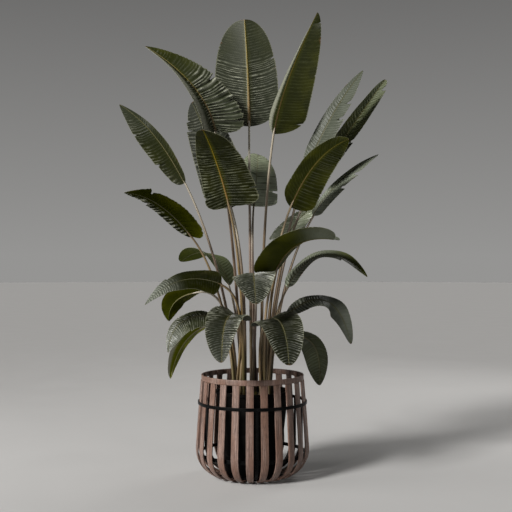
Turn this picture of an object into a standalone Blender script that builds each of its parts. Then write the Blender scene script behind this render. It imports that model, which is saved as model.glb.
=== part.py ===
"""Potted banana plant in a slatted wooden basket. Metres, +Z up; the basket stands on Z = 0."""
import math
from typing import NamedTuple

import bmesh
import bpy
from mathutils import Matrix, Vector

GAP = 0.0003  # clearance between pieces that touch
SUNK = 0.0005  # how far joined shapes reach into each other
OVER = 0.010  # how far a cutter runs past what it cuts

# Basket
SLATS = 24
SLAT_PITCH = math.tau / SLATS
SLAT_TURN = math.radians(-2.5)  # the front slat stands a little left of the front
SLAT_THICK = 0.006
SLAT_WIDTH_FOOT = 0.020
SLAT_WIDTH_BELLY = 0.031
SLAT_WIDTH_TOP = 0.0296
BASKET_HEIGHT = 0.425
FOOT_INNER_R = 0.108
FOOT_R = 0.122  # the slats lie flat from FOOT_INNER_R to here, then turn up
BEND_R = 0.115
BELLY_R = FOOT_R + BEND_R
TOP_R = 0.2145
BEND_ROWS = 6
SIDE_ROWS = 3
SIDE_POWER = 1.15

HOOP_HEIGHT = 0.022
HOOP_THICK = 0.003
HOOP_STEPS = 48

RING_LOW = 0.3035  # the outer ring's lower edge
RING_HEIGHT = 0.013
RING_THICK = 0.004
STRAP_WIDTH = 0.012
STRAP_THICK = 0.004
STRAPS = 6
STRAP_ROWS = 6  # in the bend
INNER_RING_R = 0.219
INNER_RING_THICK = 0.0035
INNER_RING_LOW = 0.090
INNER_RING_HEIGHT = 0.015

DISC_THICK = 0.016
DISC_R = 0.121
DISC_STEPS = 36

# Pot and soil
POT_FOOT_R = 0.115
POT_TOP_R = 0.150
POT_HEIGHT = 0.342
POT_WALL = 0.0025
POT_LIP_R = 0.156
POT_LIP_HEIGHT = 0.012
POT_STEPS = 32
POT_LOW = DISC_THICK + GAP
SOIL_TOP = 0.330

# Shoots: the stalks of each one grow from a crown that stands in the soil
CROWN_R = 0.030
CROWN_TOP_R = 0.025
CROWN_LOW = 0.285
CROWN_TOP = 0.352
CROWN_STEPS = 16
CROWNS = {
    "front_left": (-0.055, -0.045),
    "back_left": (-0.050, 0.050),
    "middle": (0.000, 0.000),
    "front_right": (0.050, -0.045),
    "back_right": (0.055, 0.050),
}
ROOT_Z = 0.310
STALK_ROOT_R = 0.0075
STALK_TOP_R = 0.0045
STALK_SEGMENTS = 7
STALK_RISE = 0.30  # share of a stalk's length on which it still stands upright
STALK_TURN = 0.30  # share on which it already points along the blade

# Blades
PETIOLE_HALF = 0.0055
RIB_THICK = 0.0055
BLADE_THICK = 0.0011
BLADE_ROWS = 9
BLADE_COLUMNS = (-1.0, -0.55, -0.07, 0.0, 0.07, 0.55, 1.0)
ROW_EASE = 0.6  # 0 spaces the rows evenly, 1 crowds them at both ends
RIB_TAPER = 0.6  # share of its thickness that the rib loses towards the tip
PETIOLE_TAPER = 0.7
TEAR_HALF = 0.010  # half of a tear's mouth, as a share of the blade's length
TEAR_ROOM = 0.045  # the tear's own rows stand for the even rows this close to it

LEAF_GREEN = (0.045, 0.075, 0.022)
STALK_TAN = (0.36, 0.27, 0.13)
WOOD_BROWN = (0.24, 0.125, 0.075)
METAL_BLACK = (0.015, 0.015, 0.016)
POT_BLACK = (0.012, 0.012, 0.012)
SOIL_BROWN = (0.035, 0.022, 0.014)


class Leaf(NamedTuple):
    """A blade and its stalk. Its left and right are those of its upper side with the tip up."""

    name: str
    shoot: str
    root: tuple  # the stalk's foot, from its crown's centre
    base: tuple  # the midrib passes base, mid and tip
    mid: tuple
    tip: tuple
    face: tuple  # where the upper side looks: azimuth from +X and elevation, degrees
    width: tuple  # of the left and the right half
    fold: tuple = (10, 10)  # how far the halves rise from the rib's plane, degrees
    twist: float = 0.0  # degrees from base to tip
    blunt: float = 0.6  # 0 pointed, 1 round
    shoulder: float = 0.14  # share of the length on which the blade widens
    sweep: tuple = (0.1, 0.25)  # how far the veins run towards the tip, at the base and at the tip
    droop: float = 0.1  # how far the edges hang back
    tears: tuple = ()  # side (-1 left, 1 right), place along the midrib, depth


LEAVES = (
    Leaf("top_middle", "middle", root=(-0.005, 0.018),
         base=(-0.015, 0.080, 1.475), mid=(-0.020, 0.085, 1.690), tip=(-0.035, 0.110, 1.940),
         face=(95, 0), width=(0.130, 0.145), fold=(10, 12), twist=-10,
         blunt=0.9, shoulder=0.22, sweep=(0.1, 0.2), droop=0.15,
         tears=((-1, 0.6, 0.22), (1, 0.42, 0.15))),
    Leaf("top_left", "back_left", root=(0.000, -0.020),
         base=(-0.155, -0.020, 1.440), mid=(-0.250, -0.030, 1.630), tip=(-0.450, 0.000, 1.800),
         face=(-85, 25), width=(0.085, 0.130), fold=(45, 5), twist=10,
         blunt=0.2, shoulder=0.16, sweep=(-0.45, 0.15), droop=0,
         tears=((1, 0.12, 0.35), (1, 0.26, 0.3), (1, 0.46, 0.35))),
    Leaf("top_right", "back_right", root=(-0.018, 0.000),
         base=(0.090, -0.020, 1.430), mid=(0.150, -0.015, 1.655), tip=(0.275, 0.030, 1.950),
         face=(50, 10), width=(0.120, 0.100), fold=(35, 40), twist=-15,
         blunt=0.5, shoulder=0.2, sweep=(0.15, 0.25), droop=0.05,
         tears=((-1, 0.93, 0.4), (-1, 0.1, 0.25))),
    Leaf("right_pale", "back_right", root=(0.006, -0.002),
         base=(0.230, 0.030, 1.285), mid=(0.335, 0.020, 1.510), tip=(0.470, 0.060, 1.710),
         face=(-125, 30), width=(0.040, 0.070), fold=(20, 5), twist=10,
         blunt=0.35, shoulder=0.18, sweep=(0.15, 0.25), droop=0.15,
         tears=((1, 0.46, 0.35), (1, 0.62, 0.35))),
    Leaf("right_folded", "back_right", root=(0.016, 0.012),
         base=(0.275, 0.120, 1.245), mid=(0.435, 0.160, 1.485), tip=(0.590, 0.240, 1.705),
         face=(-80, 50), width=(0.040, 0.090), fold=(50, 40), twist=10,
         blunt=0.6, shoulder=0.12, sweep=(0.15, 0.35), droop=0,
         tears=((1, 0.85, 0.4), (1, 0.3, 0.2))),
    Leaf("left_high", "back_left", root=(-0.020, 0.000),
         base=(-0.290, 0.050, 1.230), mid=(-0.425, 0.080, 1.440), tip=(-0.580, 0.150, 1.580),
         face=(-175, 45), width=(0.105, 0.030), fold=(5, -5), twist=-15,
         blunt=0.1, shoulder=0.1, sweep=(0.05, 0.6), droop=0.1,
         tears=((-1, 0.22, 0.25), (-1, 0.55, 0.2))),
    Leaf("back_high", "middle", root=(0.012, 0.015),
         base=(0.005, 0.130, 1.135), mid=(0.015, 0.280, 1.260), tip=(0.025, 0.460, 1.395),
         face=(-65, 40), width=(0.085, 0.100), fold=(0, 15), twist=15,
         blunt=0.9, shoulder=0.14, sweep=(0, 0.25), droop=0.15,
         tears=((1, 0.3, 0.3),)),
    Leaf("front_high", "front_left", root=(0.018, -0.008),
         base=(-0.095, -0.110, 1.125), mid=(-0.145, -0.150, 1.300), tip=(-0.195, -0.220, 1.420),
         face=(60, 40), width=(0.140, 0.100), fold=(0, 5), twist=-25,
         blunt=0.9, shoulder=0.12, sweep=(-0.25, 0.05), droop=0.05,
         tears=((-1, 0.18, 0.25), (1, 0.14, 0.25))),
    Leaf("left_behind", "back_left", root=(0.018, 0.005),
         base=(-0.090, 0.030, 1.125), mid=(-0.170, 0.050, 1.370), tip=(-0.260, 0.090, 1.580),
         face=(70, 10), width=(0.100, 0.100), fold=(5, 5), twist=-20,
         blunt=0.75, shoulder=0.16, sweep=(0.05, 0.2), droop=0.1,
         tears=((1, 0.72, 0.4), (1, 0.82, 0.35))),
    Leaf("right_front_high", "front_right", root=(0.012, 0.010),
         base=(0.160, -0.070, 1.120), mid=(0.260, -0.140, 1.295), tip=(0.385, -0.200, 1.385),
         face=(25, -5), width=(0.095, 0.090), fold=(35, 0), twist=-10,
         blunt=0.25, shoulder=0.1, sweep=(0.05, 0.65), droop=0.05,
         tears=((-1, 0.66, 0.25),)),
    Leaf("right_narrow", "back_right", root=(0.020, -0.006),
         base=(0.260, 0.085, 1.095), mid=(0.385, 0.100, 1.250), tip=(0.550, 0.180, 1.365),
         face=(-65, 75), width=(0.020, 0.080), fold=(10, 15), twist=-10,
         blunt=0.65, shoulder=0.06, sweep=(0.05, 0.25), droop=0.1,
         tears=((1, 0.35, 0.3), (1, 0.55, 0.35))),
    Leaf("back_right", "back_right", root=(-0.005, 0.020),
         base=(0.150, 0.160, 1.005), mid=(0.200, 0.250, 1.075), tip=(0.275, 0.380, 1.145),
         face=(-135, 60), width=(0.095, 0.080), fold=(5, 10), twist=5,
         blunt=0.7, shoulder=0.12, sweep=(-0.2, 0.1), droop=0.1),
    Leaf("left_folded", "front_left", root=(-0.020, -0.005),
         base=(-0.250, -0.035, 1.000), mid=(-0.380, -0.140, 1.130), tip=(-0.505, -0.240, 1.170),
         face=(-130, 55), width=(0.095, 0.070), fold=(35, -25), twist=5,
         blunt=0.2, shoulder=0.16, sweep=(-0.4, 0.3), droop=0.05,
         tears=((1, 0.55, 0.3), (-1, 0.66, 0.55))),
    Leaf("right_arch_front", "front_right", root=(0.000, 0.004),
         base=(0.090, -0.085, 0.850), mid=(0.180, -0.165, 0.965), tip=(0.320, -0.255, 0.985),
         face=(120, 50), width=(0.100, 0.145), fold=(35, 5), twist=-15,
         blunt=0.75, shoulder=0.2, sweep=(-0.25, 0.95), droop=0.2),
    Leaf("middle_droop", "middle", root=(0.000, -0.018),
         base=(0.010, -0.075, 0.810), mid=(0.005, -0.205, 0.845), tip=(0.015, -0.325, 0.735),
         face=(-110, 70), width=(0.085, 0.085), fold=(0, 10), twist=-25,
         blunt=0.65, shoulder=0.18, sweep=(0.25, 0.35), droop=0.2),
    Leaf("left_arch", "front_left", root=(-0.012, 0.010),
         base=(-0.130, -0.105, 0.805), mid=(-0.290, -0.140, 0.820), tip=(-0.430, -0.185, 0.725),
         face=(-80, 55), width=(0.060, 0.095), fold=(-5, -10), twist=20,
         blunt=0.2, shoulder=0.1, sweep=(-0.1, -0.1), droop=0.15,
         tears=((1, 0.62, 0.25),)),
    Leaf("back_left", "back_left", root=(0.002, 0.020),
         base=(-0.100, 0.090, 0.795), mid=(-0.195, 0.190, 0.930), tip=(-0.325, 0.320, 0.895),
         face=(-30, 60), width=(0.075, 0.095), fold=(10, 0), twist=-10,
         blunt=0.75, shoulder=0.18, sweep=(0.5, 0.3), droop=0.05),
    Leaf("right_arch", "front_right", root=(0.018, -0.006),
         base=(0.145, -0.020, 0.790), mid=(0.300, -0.040, 0.925), tip=(0.470, -0.100, 0.835),
         face=(-135, 75), width=(0.080, 0.070), fold=(10, 5), twist=0,
         blunt=0.3, shoulder=0.08, sweep=(0.1, 0.15), droop=0.1,
         tears=((1, 0.7, 0.2),)),
    Leaf("left_hang", "back_left", root=(-0.018, 0.012),
         base=(-0.220, 0.030, 0.770), mid=(-0.325, 0.060, 0.730), tip=(-0.360, 0.100, 0.640),
         face=(70, 55), width=(0.060, 0.055), fold=(10, 20), twist=-10,
         blunt=0.4, shoulder=0.22, sweep=(0.6, 0.1), droop=0.1),
    Leaf("right_low_arch", "back_right", root=(0.012, -0.018),
         base=(0.150, 0.030, 0.675), mid=(0.320, 0.060, 0.725), tip=(0.425, 0.120, 0.540),
         face=(-135, 45), width=(0.045, 0.045), fold=(0, 5), twist=-15,
         blunt=0.8, shoulder=0.2, sweep=(0, 0.05), droop=0.1),
    Leaf("left_low_arch", "front_left", root=(-0.020, 0.002),
         base=(-0.170, -0.020, 0.670), mid=(-0.300, -0.060, 0.640), tip=(-0.345, -0.100, 0.525),
         face=(-115, 50), width=(0.080, 0.035), fold=(0, 10), twist=-25,
         blunt=0.25, shoulder=0.12, sweep=(0.1, 0.35), droop=0.1,
         tears=((-1, 0.35, 0.25),)),
    Leaf("front_left_droop", "front_left", root=(0.002, -0.020),
         base=(-0.060, -0.085, 0.665), mid=(-0.105, -0.235, 0.660), tip=(-0.115, -0.380, 0.515),
         face=(-105, 35), width=(0.075, 0.085), fold=(15, 15), twist=20,
         blunt=0.7, shoulder=0.14, sweep=(-0.05, 0.25), droop=0.1,
         tears=((-1, 0.5, 0.15),)),
    Leaf("front_right_droop", "front_right", root=(-0.014, -0.014),
         base=(0.055, -0.080, 0.645), mid=(0.115, -0.230, 0.650), tip=(0.140, -0.380, 0.505),
         face=(-80, 50), width=(0.085, 0.095), fold=(10, 10), twist=-5,
         blunt=0.7, shoulder=0.14, sweep=(0.1, 0.35), droop=0.1,
         tears=((1, 0.45, 0.25),)),
    Leaf("left_low_hang", "back_left", root=(-0.010, 0.018),
         base=(-0.200, 0.050, 0.625), mid=(-0.300, 0.080, 0.540), tip=(-0.355, 0.120, 0.390),
         face=(150, 75), width=(0.055, 0.050), fold=(25, 5), twist=-15,
         blunt=0.45, shoulder=0.14, sweep=(0.1, 0.1), droop=0.1),
    Leaf("right_low_hang", "back_right", root=(0.004, 0.018),
         base=(0.160, 0.100, 0.580), mid=(0.270, 0.160, 0.525), tip=(0.295, 0.200, 0.350),
         face=(85, 65), width=(0.085, 0.050), fold=(10, 5), twist=5,
         blunt=0.55, shoulder=0.14, sweep=(0.3, 0.4), droop=0.1),
)


# Scene helpers

def clear_scene():
    for obj in list(bpy.data.objects):
        bpy.data.objects.remove(obj, do_unlink=True)


def new_collection(name):
    collection = bpy.data.collections.new(name)
    bpy.context.scene.collection.children.link(collection)
    return collection


def new_material(name, color, roughness, metallic=0.0):
    material = bpy.data.materials.new(name)
    material.use_nodes = True
    shader = material.node_tree.nodes["Principled BSDF"]
    shader.inputs["Base Color"].default_value = (*color, 1.0)
    shader.inputs["Roughness"].default_value = roughness
    shader.inputs["Metallic"].default_value = metallic
    material.diffuse_color = (*color, 1.0)
    return material


def add_object(name, mesh, collection, material=None):
    obj = bpy.data.objects.new(name, mesh)
    if material:
        mesh.materials.clear()
        mesh.materials.append(material)
    collection.objects.link(obj)
    return obj


def mesh_from(bm, name):
    mesh = bpy.data.meshes.new(name)
    bm.to_mesh(mesh)
    bm.free()
    return mesh


def evaluated_mesh(obj, name):
    """The object's mesh with its modifiers applied and its doubles welded."""
    graph = bpy.context.evaluated_depsgraph_get()
    graph.update()
    mesh = bpy.data.meshes.new_from_object(obj.evaluated_get(graph))
    bm = bmesh.new()
    bm.from_mesh(mesh)
    bpy.data.meshes.remove(mesh)
    bmesh.ops.remove_doubles(bm, verts=bm.verts, dist=1e-6)
    return mesh_from(bm, name)


def apply_modifiers(obj):
    old = obj.data
    material = old.materials[0] if old.materials else None
    obj.data = evaluated_mesh(obj, obj.name)
    if material:
        obj.data.materials.clear()
        obj.data.materials.append(material)
    obj.modifiers.clear()
    if not old.users:
        bpy.data.meshes.remove(old)


def boolean(obj, operation, operands):
    """Joins or cuts obj with every object in the operands' collection, and removes them."""
    modifier = obj.modifiers.new(operation.title(), "BOOLEAN")
    modifier.operation = operation
    modifier.solver = "EXACT"
    modifier.operand_type = "COLLECTION"
    modifier.collection = operands
    apply_modifiers(obj)
    for piece in list(operands.objects):
        bpy.data.objects.remove(piece, do_unlink=True)
    bpy.data.collections.remove(operands)


def cone_mesh(name, low_r, high_r, low_z, high_z, steps, x=0.0, y=0.0):
    bm = bmesh.new()
    place = Matrix.Translation((x, y, (low_z + high_z) / 2))
    bmesh.ops.create_cone(bm, cap_ends=True, segments=steps, radius1=low_r, radius2=high_r,
                          depth=high_z - low_z, matrix=place)
    return mesh_from(bm, name)


def ring_mesh(name, inner_r, outer_r, low_z, high_z, steps):
    """A flat band turned round the Z axis."""
    bm = bmesh.new()
    corners = [bm.verts.new((r, 0.0, z)) for r, z in
               ((inner_r, low_z), (outer_r, low_z), (outer_r, high_z), (inner_r, high_z))]
    face = bm.faces.new(corners)
    outline = list(face.edges)
    bm.faces.remove(face)
    bmesh.ops.spin(bm, geom=corners + outline, cent=(0, 0, 0), axis=(0, 0, 1), angle=math.tau,
                   steps=steps, use_merge=True)
    bmesh.ops.remove_doubles(bm, verts=bm.verts, dist=1e-6)
    bmesh.ops.recalc_face_normals(bm, faces=bm.faces)
    return mesh_from(bm, name)


# Basket

def side_radius(z):
    """The slats' outer radius between the belly and the top."""
    share = max(z - BEND_R, 0.0) / (BASKET_HEIGHT - BEND_R)
    return BELLY_R + (TOP_R - BELLY_R) * share ** SIDE_POWER


def slat_rows():
    """Radius, height and width of the slat's outer face, from its foot to its top."""
    rows = [(FOOT_INNER_R, 0.0, SLAT_WIDTH_FOOT)]
    for i in range(BEND_ROWS + 1):
        share = i / BEND_ROWS
        angle = share * math.pi / 2
        width = SLAT_WIDTH_FOOT + (SLAT_WIDTH_BELLY - SLAT_WIDTH_FOOT) * math.sin(angle)
        rows.append((FOOT_R + BEND_R * math.sin(angle), BEND_R * (1 - math.cos(angle)), width))
    for i in range(1, SIDE_ROWS + 1):
        share = i / SIDE_ROWS
        z = BEND_R + (BASKET_HEIGHT - BEND_R) * share
        rows.append((side_radius(z), z, SLAT_WIDTH_BELLY + (SLAT_WIDTH_TOP - SLAT_WIDTH_BELLY) * share))
    return rows


def strip_object(name, rows, thickness, collection):
    """A flat strip at the front of the basket that follows the rows' radius, height and width."""
    last = len(rows) - 1
    bm = bmesh.new()
    bmesh.ops.create_grid(bm, x_segments=1, y_segments=last, size=1.0)
    for vert in bm.verts:
        r, z, width = rows[round((vert.co.y + 1) / 2 * last)]
        vert.co = (vert.co.x * width / 2, -r, z)
    strip = add_object(name, mesh_from(bm, name), collection)
    solidify = strip.modifiers.new("Thickness", "SOLIDIFY")
    solidify.thickness = thickness
    solidify.offset = -1.0
    apply_modifiers(strip)
    return strip


def slat_mesh(collection):
    """One slat at the front, thinned at its top where the hoop lies."""
    slat = strip_object("slat_blank", slat_rows(), SLAT_THICK, collection)
    cutters = new_collection("lap_cutter")
    lap_r = TOP_R - HOOP_THICK - 2 * GAP
    lap_low = BASKET_HEIGHT - HOOP_HEIGHT - GAP
    lap = ring_mesh("lap", lap_r, TOP_R + OVER, lap_low, BASKET_HEIGHT + OVER, 2 * HOOP_STEPS)
    add_object("lap", lap, cutters)
    boolean(slat, "DIFFERENCE", cutters)
    mesh = slat.data
    bpy.data.objects.remove(slat, do_unlink=True)
    return mesh


def build_slats(parts, wood):
    mesh = slat_mesh(parts)
    for i in range(SLATS):
        slat = add_object(f"slat_{i + 1:02d}", mesh.copy(), parts, wood)
        slat.rotation_euler.z = SLAT_TURN + i * SLAT_PITCH
    bpy.data.meshes.remove(mesh)


def build_rim_hoop(parts, wood):
    low = BASKET_HEIGHT - HOOP_HEIGHT
    mesh = ring_mesh("rim_hoop", TOP_R - HOOP_THICK, TOP_R, low, BASKET_HEIGHT, HOOP_STEPS)
    add_object("rim_hoop", mesh, parts, wood)


def strap_rows(outer_r, high):
    """Radius, height and width of a strap's outer face, from the base disc's edge to the outer ring."""
    bend_r = outer_r - FOOT_R
    rows = [(DISC_R + GAP, BEND_R - bend_r, STRAP_WIDTH)]
    for i in range(STRAP_ROWS + 1):
        angle = i / STRAP_ROWS * math.pi / 2
        rows.append((FOOT_R + bend_r * math.sin(angle), BEND_R - bend_r * math.cos(angle), STRAP_WIDTH))
    rows.append((outer_r, high, STRAP_WIDTH))
    return rows


def build_metal_frame(parts, metal):
    """The outer ring, the straps in gaps between the slats and the inner ring, welded in one frame."""
    corner_r = math.hypot(side_radius(RING_LOW), SLAT_WIDTH_BELLY / 2)
    ring_r = (corner_r + GAP) / math.cos(math.pi / HOOP_STEPS)
    ring_high = RING_LOW + RING_HEIGHT
    mesh = ring_mesh("metal_frame", ring_r, ring_r + RING_THICK, RING_LOW, ring_high, HOOP_STEPS)
    frame = add_object("metal_frame", mesh, parts, metal)
    joined = new_collection("frame_pieces")
    inner_r, inner_high = INNER_RING_R + INNER_RING_THICK, INNER_RING_LOW + INNER_RING_HEIGHT
    inner = ring_mesh("inner_ring", INNER_RING_R, inner_r, INNER_RING_LOW, inner_high, HOOP_STEPS)
    add_object("inner_ring", inner, joined)
    rows = strap_rows(ring_r + 2 * SUNK, ring_high - SUNK)
    for i in range(STRAPS):
        strap = strip_object(f"strap_{i}", rows, STRAP_THICK, joined)
        turn = SLAT_TURN + SLAT_PITCH / 2 + i * math.tau / STRAPS
        strap.data.transform(Matrix.Rotation(turn, 4, "Z"))
    boolean(frame, "UNION", joined)


def build_base_disc(parts, wood):
    """A round board. Its step lies over the slats' feet."""
    boss_r = FOOT_INNER_R - GAP
    boss = cone_mesh("base_disc", boss_r, boss_r, 0.0, DISC_THICK - SUNK, DISC_STEPS)
    disc = add_object("base_disc", boss, parts, wood)
    joined = new_collection("disc_pieces")
    step = cone_mesh("step", DISC_R, DISC_R, SLAT_THICK + GAP, DISC_THICK, DISC_STEPS)
    add_object("step", step, joined)
    boolean(disc, "UNION", joined)


# Pot and soil

def pot_inner_radius(z):
    share = (z - POT_LOW) / POT_HEIGHT
    return POT_FOOT_R + (POT_TOP_R - POT_FOOT_R) * share - POT_WALL


def build_pot(parts, plastic):
    top = POT_LOW + POT_HEIGHT
    wall = cone_mesh("pot", POT_FOOT_R, POT_TOP_R, POT_LOW, top, POT_STEPS)
    pot = add_object("pot", wall, parts, plastic)
    joined = new_collection("pot_lip")
    lip = cone_mesh("lip", POT_LIP_R - 2 * SUNK, POT_LIP_R, top - POT_LIP_HEIGHT, top, POT_STEPS)
    add_object("lip", lip, joined)
    boolean(pot, "UNION", joined)
    cutters = new_collection("pot_inside")
    low, high = POT_LOW + POT_WALL, top + OVER
    inside = cone_mesh("inside", pot_inner_radius(low), pot_inner_radius(high), low, high, POT_STEPS)
    add_object("inside", inside, cutters)
    boolean(pot, "DIFFERENCE", cutters)


def build_soil(parts, earth):
    low = POT_LOW + POT_WALL + GAP
    low_r, high_r = pot_inner_radius(low) - GAP, pot_inner_radius(SOIL_TOP) - GAP
    soil = add_object("soil", cone_mesh("soil", low_r, high_r, low, SOIL_TOP, POT_STEPS), parts, earth)
    cutters = new_collection("soil_holes")
    hole_r = CROWN_R + GAP
    for name, (x, y) in CROWNS.items():
        hole = cone_mesh(name, hole_r, hole_r, CROWN_LOW - GAP, SOIL_TOP + OVER, CROWN_STEPS, x, y)
        add_object(name, hole, cutters)
    boolean(soil, "DIFFERENCE", cutters)


# Leaves

def facing(azimuth, elevation):
    a, e = math.radians(azimuth), math.radians(elevation)
    return Vector((math.cos(e) * math.cos(a), math.cos(e) * math.sin(a), math.sin(e)))


def rib_control(leaf):
    """The middle control point of the curve that passes the midrib's three points."""
    return 2 * Vector(leaf.mid) - (Vector(leaf.base) + Vector(leaf.tip)) / 2


def rib_frame(leaf, u):
    """The midrib's point, its direction, the upper side's normal and the direction of the right half."""
    base, control, tip = Vector(leaf.base), rib_control(leaf), Vector(leaf.tip)
    point = base * (1 - u) ** 2 + control * (2 * u * (1 - u)) + tip * u ** 2
    along = ((control - base) * (1 - u) + (tip - control) * u).normalized()
    look = facing(*leaf.face)
    normal = (look - along * along.dot(look)).normalized()
    normal.rotate(Matrix.Rotation(math.radians(leaf.twist) * (u - 0.5), 3, along))
    return point, along, normal, along.cross(normal)


def half_width(leaf, u):
    """The outline, from 0 to 1: an arc up to the shoulder, then a fall, which a blunt blade starts late."""
    rise = math.sqrt(1 - (1 - min(u / leaf.shoulder, 1.0)) ** 2)
    late, round_off = 1.4 + 2.8 * leaf.blunt, 1 - 0.5 * leaf.blunt
    return rise * max(1 - u ** late, 0.0) ** round_off


def blade_point(leaf, u, v):
    """A point of the upper side: u from base to tip, v from -1 at the left edge to 1 at the right edge."""
    point, along, normal, right = rib_frame(leaf, u)
    side = 0 if v < 0 else 1
    blade = abs(v) * leaf.width[side] * half_width(leaf, u)
    out = blade + PETIOLE_HALF * (1 - PETIOLE_TAPER * u) * math.sqrt(abs(v))
    fold = math.radians(leaf.fold[side])
    sweep = leaf.sweep[0] + (leaf.sweep[1] - leaf.sweep[0]) * u
    lift = out * math.sin(fold) - leaf.droop * blade ** 2 / max(leaf.width)
    return point + right * math.copysign(out * math.cos(fold), v) + normal * lift + along * (sweep * blade)


def blade_places(leaf):
    """Where the blade's rows cross the midrib, close together at both ends and round each tear."""
    places = []
    for i in range(BLADE_ROWS + 1):
        even = i / BLADE_ROWS
        places.append((1 - ROW_EASE) * even + ROW_EASE * (1 - math.cos(math.pi * even)) / 2)
    for _, place, _ in leaf.tears:
        places = [u for u in places if abs(u - place) > TEAR_ROOM or u in (0.0, 1.0)]
        places += [place - TEAR_HALF, place, place + TEAR_HALF]
    return sorted(places)


def blade_mesh(leaf):
    """The blade's upper side as an open surface, torn in from its edges, and the rib's vertices with
    their share of its thickness."""
    places = blade_places(leaf)
    rows, columns = len(places) - 1, len(BLADE_COLUMNS) - 1
    bm = bmesh.new()
    bmesh.ops.create_grid(bm, x_segments=columns, y_segments=rows, size=1.0)
    on_rib = []
    bm.verts.index_update()
    for vert in bm.verts:
        column = round((vert.co.x + 1) / 2 * columns)
        u = places[round((vert.co.y + 1) / 2 * rows)]
        v = BLADE_COLUMNS[column]
        for side, place, depth in leaf.tears:
            if u == place and v == side:
                v = side * (1 - depth)
        if column == columns // 2:
            on_rib.append((vert.index, 1 - RIB_TAPER * u))
        vert.co = blade_point(leaf, u, v)
    bmesh.ops.triangulate(bm, faces=bm.faces)
    return mesh_from(bm, leaf.name), on_rib


def build_blade(leaf, parts, green):
    mesh, on_rib = blade_mesh(leaf)
    blade = add_object(f"blade_{leaf.name}", mesh, parts, green)
    group = blade.vertex_groups.new(name="rib")
    group.add([vert.index for vert in mesh.vertices], 0.0, "REPLACE")
    for index, share in on_rib:
        group.add([index], share, "REPLACE")
    solidify = blade.modifiers.new("Thickness", "SOLIDIFY")
    solidify.thickness = RIB_THICK
    solidify.thickness_vertex_group = BLADE_THICK / RIB_THICK
    solidify.vertex_group = group.name
    solidify.offset = -1.0
    apply_modifiers(blade)


def stalk_mesh(leaf):
    """The stalk as a tapering tube from its crown to just below the blade."""
    base, along, normal, _ = rib_frame(leaf, 0.0)
    crown_x, crown_y = CROWNS[leaf.shoot]
    root = Vector((crown_x + leaf.root[0], crown_y + leaf.root[1], ROOT_Z))
    top = base - along * (GAP + SUNK / 2) - normal * (RIB_THICK / 2)
    length = (top - root).length
    curve = bpy.data.curves.new(leaf.name, "CURVE")
    curve.dimensions = "3D"
    curve.bevel_depth = STALK_ROOT_R
    curve.bevel_resolution = 1
    curve.resolution_u = STALK_SEGMENTS
    curve.use_fill_caps = True
    spline = curve.splines.new("BEZIER")
    spline.bezier_points.add(1)
    first, last = spline.bezier_points
    up = Vector((0, 0, STALK_RISE * length))
    first.co, first.handle_left, first.handle_right = root, root - up, root + up
    turn = along * (STALK_TURN * length)
    last.co, last.handle_left, last.handle_right = top, top - turn, top + turn
    last.radius = STALK_TOP_R / STALK_ROOT_R
    tube = bpy.data.objects.new(leaf.name, curve)
    bpy.context.scene.collection.objects.link(tube)
    mesh = evaluated_mesh(tube, leaf.name)
    bpy.data.objects.remove(tube, do_unlink=True)
    bpy.data.curves.remove(curve)
    return mesh


def build_shoot(name, parts, tan):
    """A crown in the soil and the stalks that grow from it, fused in one body."""
    x, y = CROWNS[name]
    mesh = cone_mesh(f"shoot_{name}", CROWN_R, CROWN_TOP_R, CROWN_LOW, CROWN_TOP, CROWN_STEPS, x, y)
    shoot = add_object(f"shoot_{name}", mesh, parts, tan)
    stalks = new_collection(f"stalks_{name}")
    for leaf in LEAVES:
        if leaf.shoot == name:
            add_object(f"stalk_{leaf.name}", stalk_mesh(leaf), stalks)
    boolean(shoot, "UNION", stalks)


def main():
    clear_scene()
    parts = new_collection("potted_banana_plant")
    wood = new_material("slat_wood", WOOD_BROWN, 0.6)
    metal = new_material("frame_metal", METAL_BLACK, 0.4, 0.6)
    plastic = new_material("pot_plastic", POT_BLACK, 0.5)
    earth = new_material("soil", SOIL_BROWN, 0.95)
    green = new_material("leaf_blade", LEAF_GREEN, 0.35)
    tan = new_material("leaf_stalk", STALK_TAN, 0.5)
    build_slats(parts, wood)
    build_rim_hoop(parts, wood)
    build_metal_frame(parts, metal)
    build_base_disc(parts, wood)
    build_pot(parts, plastic)
    build_soil(parts, earth)
    for name in CROWNS:
        build_shoot(name, parts, tan)
    for leaf in LEAVES:
        build_blade(leaf, parts, green)


main()
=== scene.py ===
"""The looks of the potted banana plant: pleated leaves, grooved stalks, grained slats. Metres, +Z up."""
from math import acos, cos, pi, radians, sin, sqrt, tau
from typing import NamedTuple

import bpy
import numpy as np
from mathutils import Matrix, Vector


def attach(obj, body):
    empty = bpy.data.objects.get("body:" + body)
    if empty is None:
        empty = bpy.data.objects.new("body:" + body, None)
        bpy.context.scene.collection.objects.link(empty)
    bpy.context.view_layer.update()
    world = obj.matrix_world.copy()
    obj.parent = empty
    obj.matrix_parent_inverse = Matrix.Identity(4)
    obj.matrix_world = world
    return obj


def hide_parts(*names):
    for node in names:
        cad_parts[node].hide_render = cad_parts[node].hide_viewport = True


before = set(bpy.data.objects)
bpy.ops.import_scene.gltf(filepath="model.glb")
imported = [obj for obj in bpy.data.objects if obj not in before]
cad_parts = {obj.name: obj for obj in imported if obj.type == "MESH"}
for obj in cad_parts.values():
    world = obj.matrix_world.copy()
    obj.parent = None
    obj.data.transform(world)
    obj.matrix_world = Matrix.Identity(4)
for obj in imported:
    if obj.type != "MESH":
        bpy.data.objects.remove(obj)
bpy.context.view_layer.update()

GAP = 0.0003
SUNK = 0.0005
AXIS_R = 0.0005  # lathed outlines stop this close to the axis
CORNER_STEPS = 3

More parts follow.
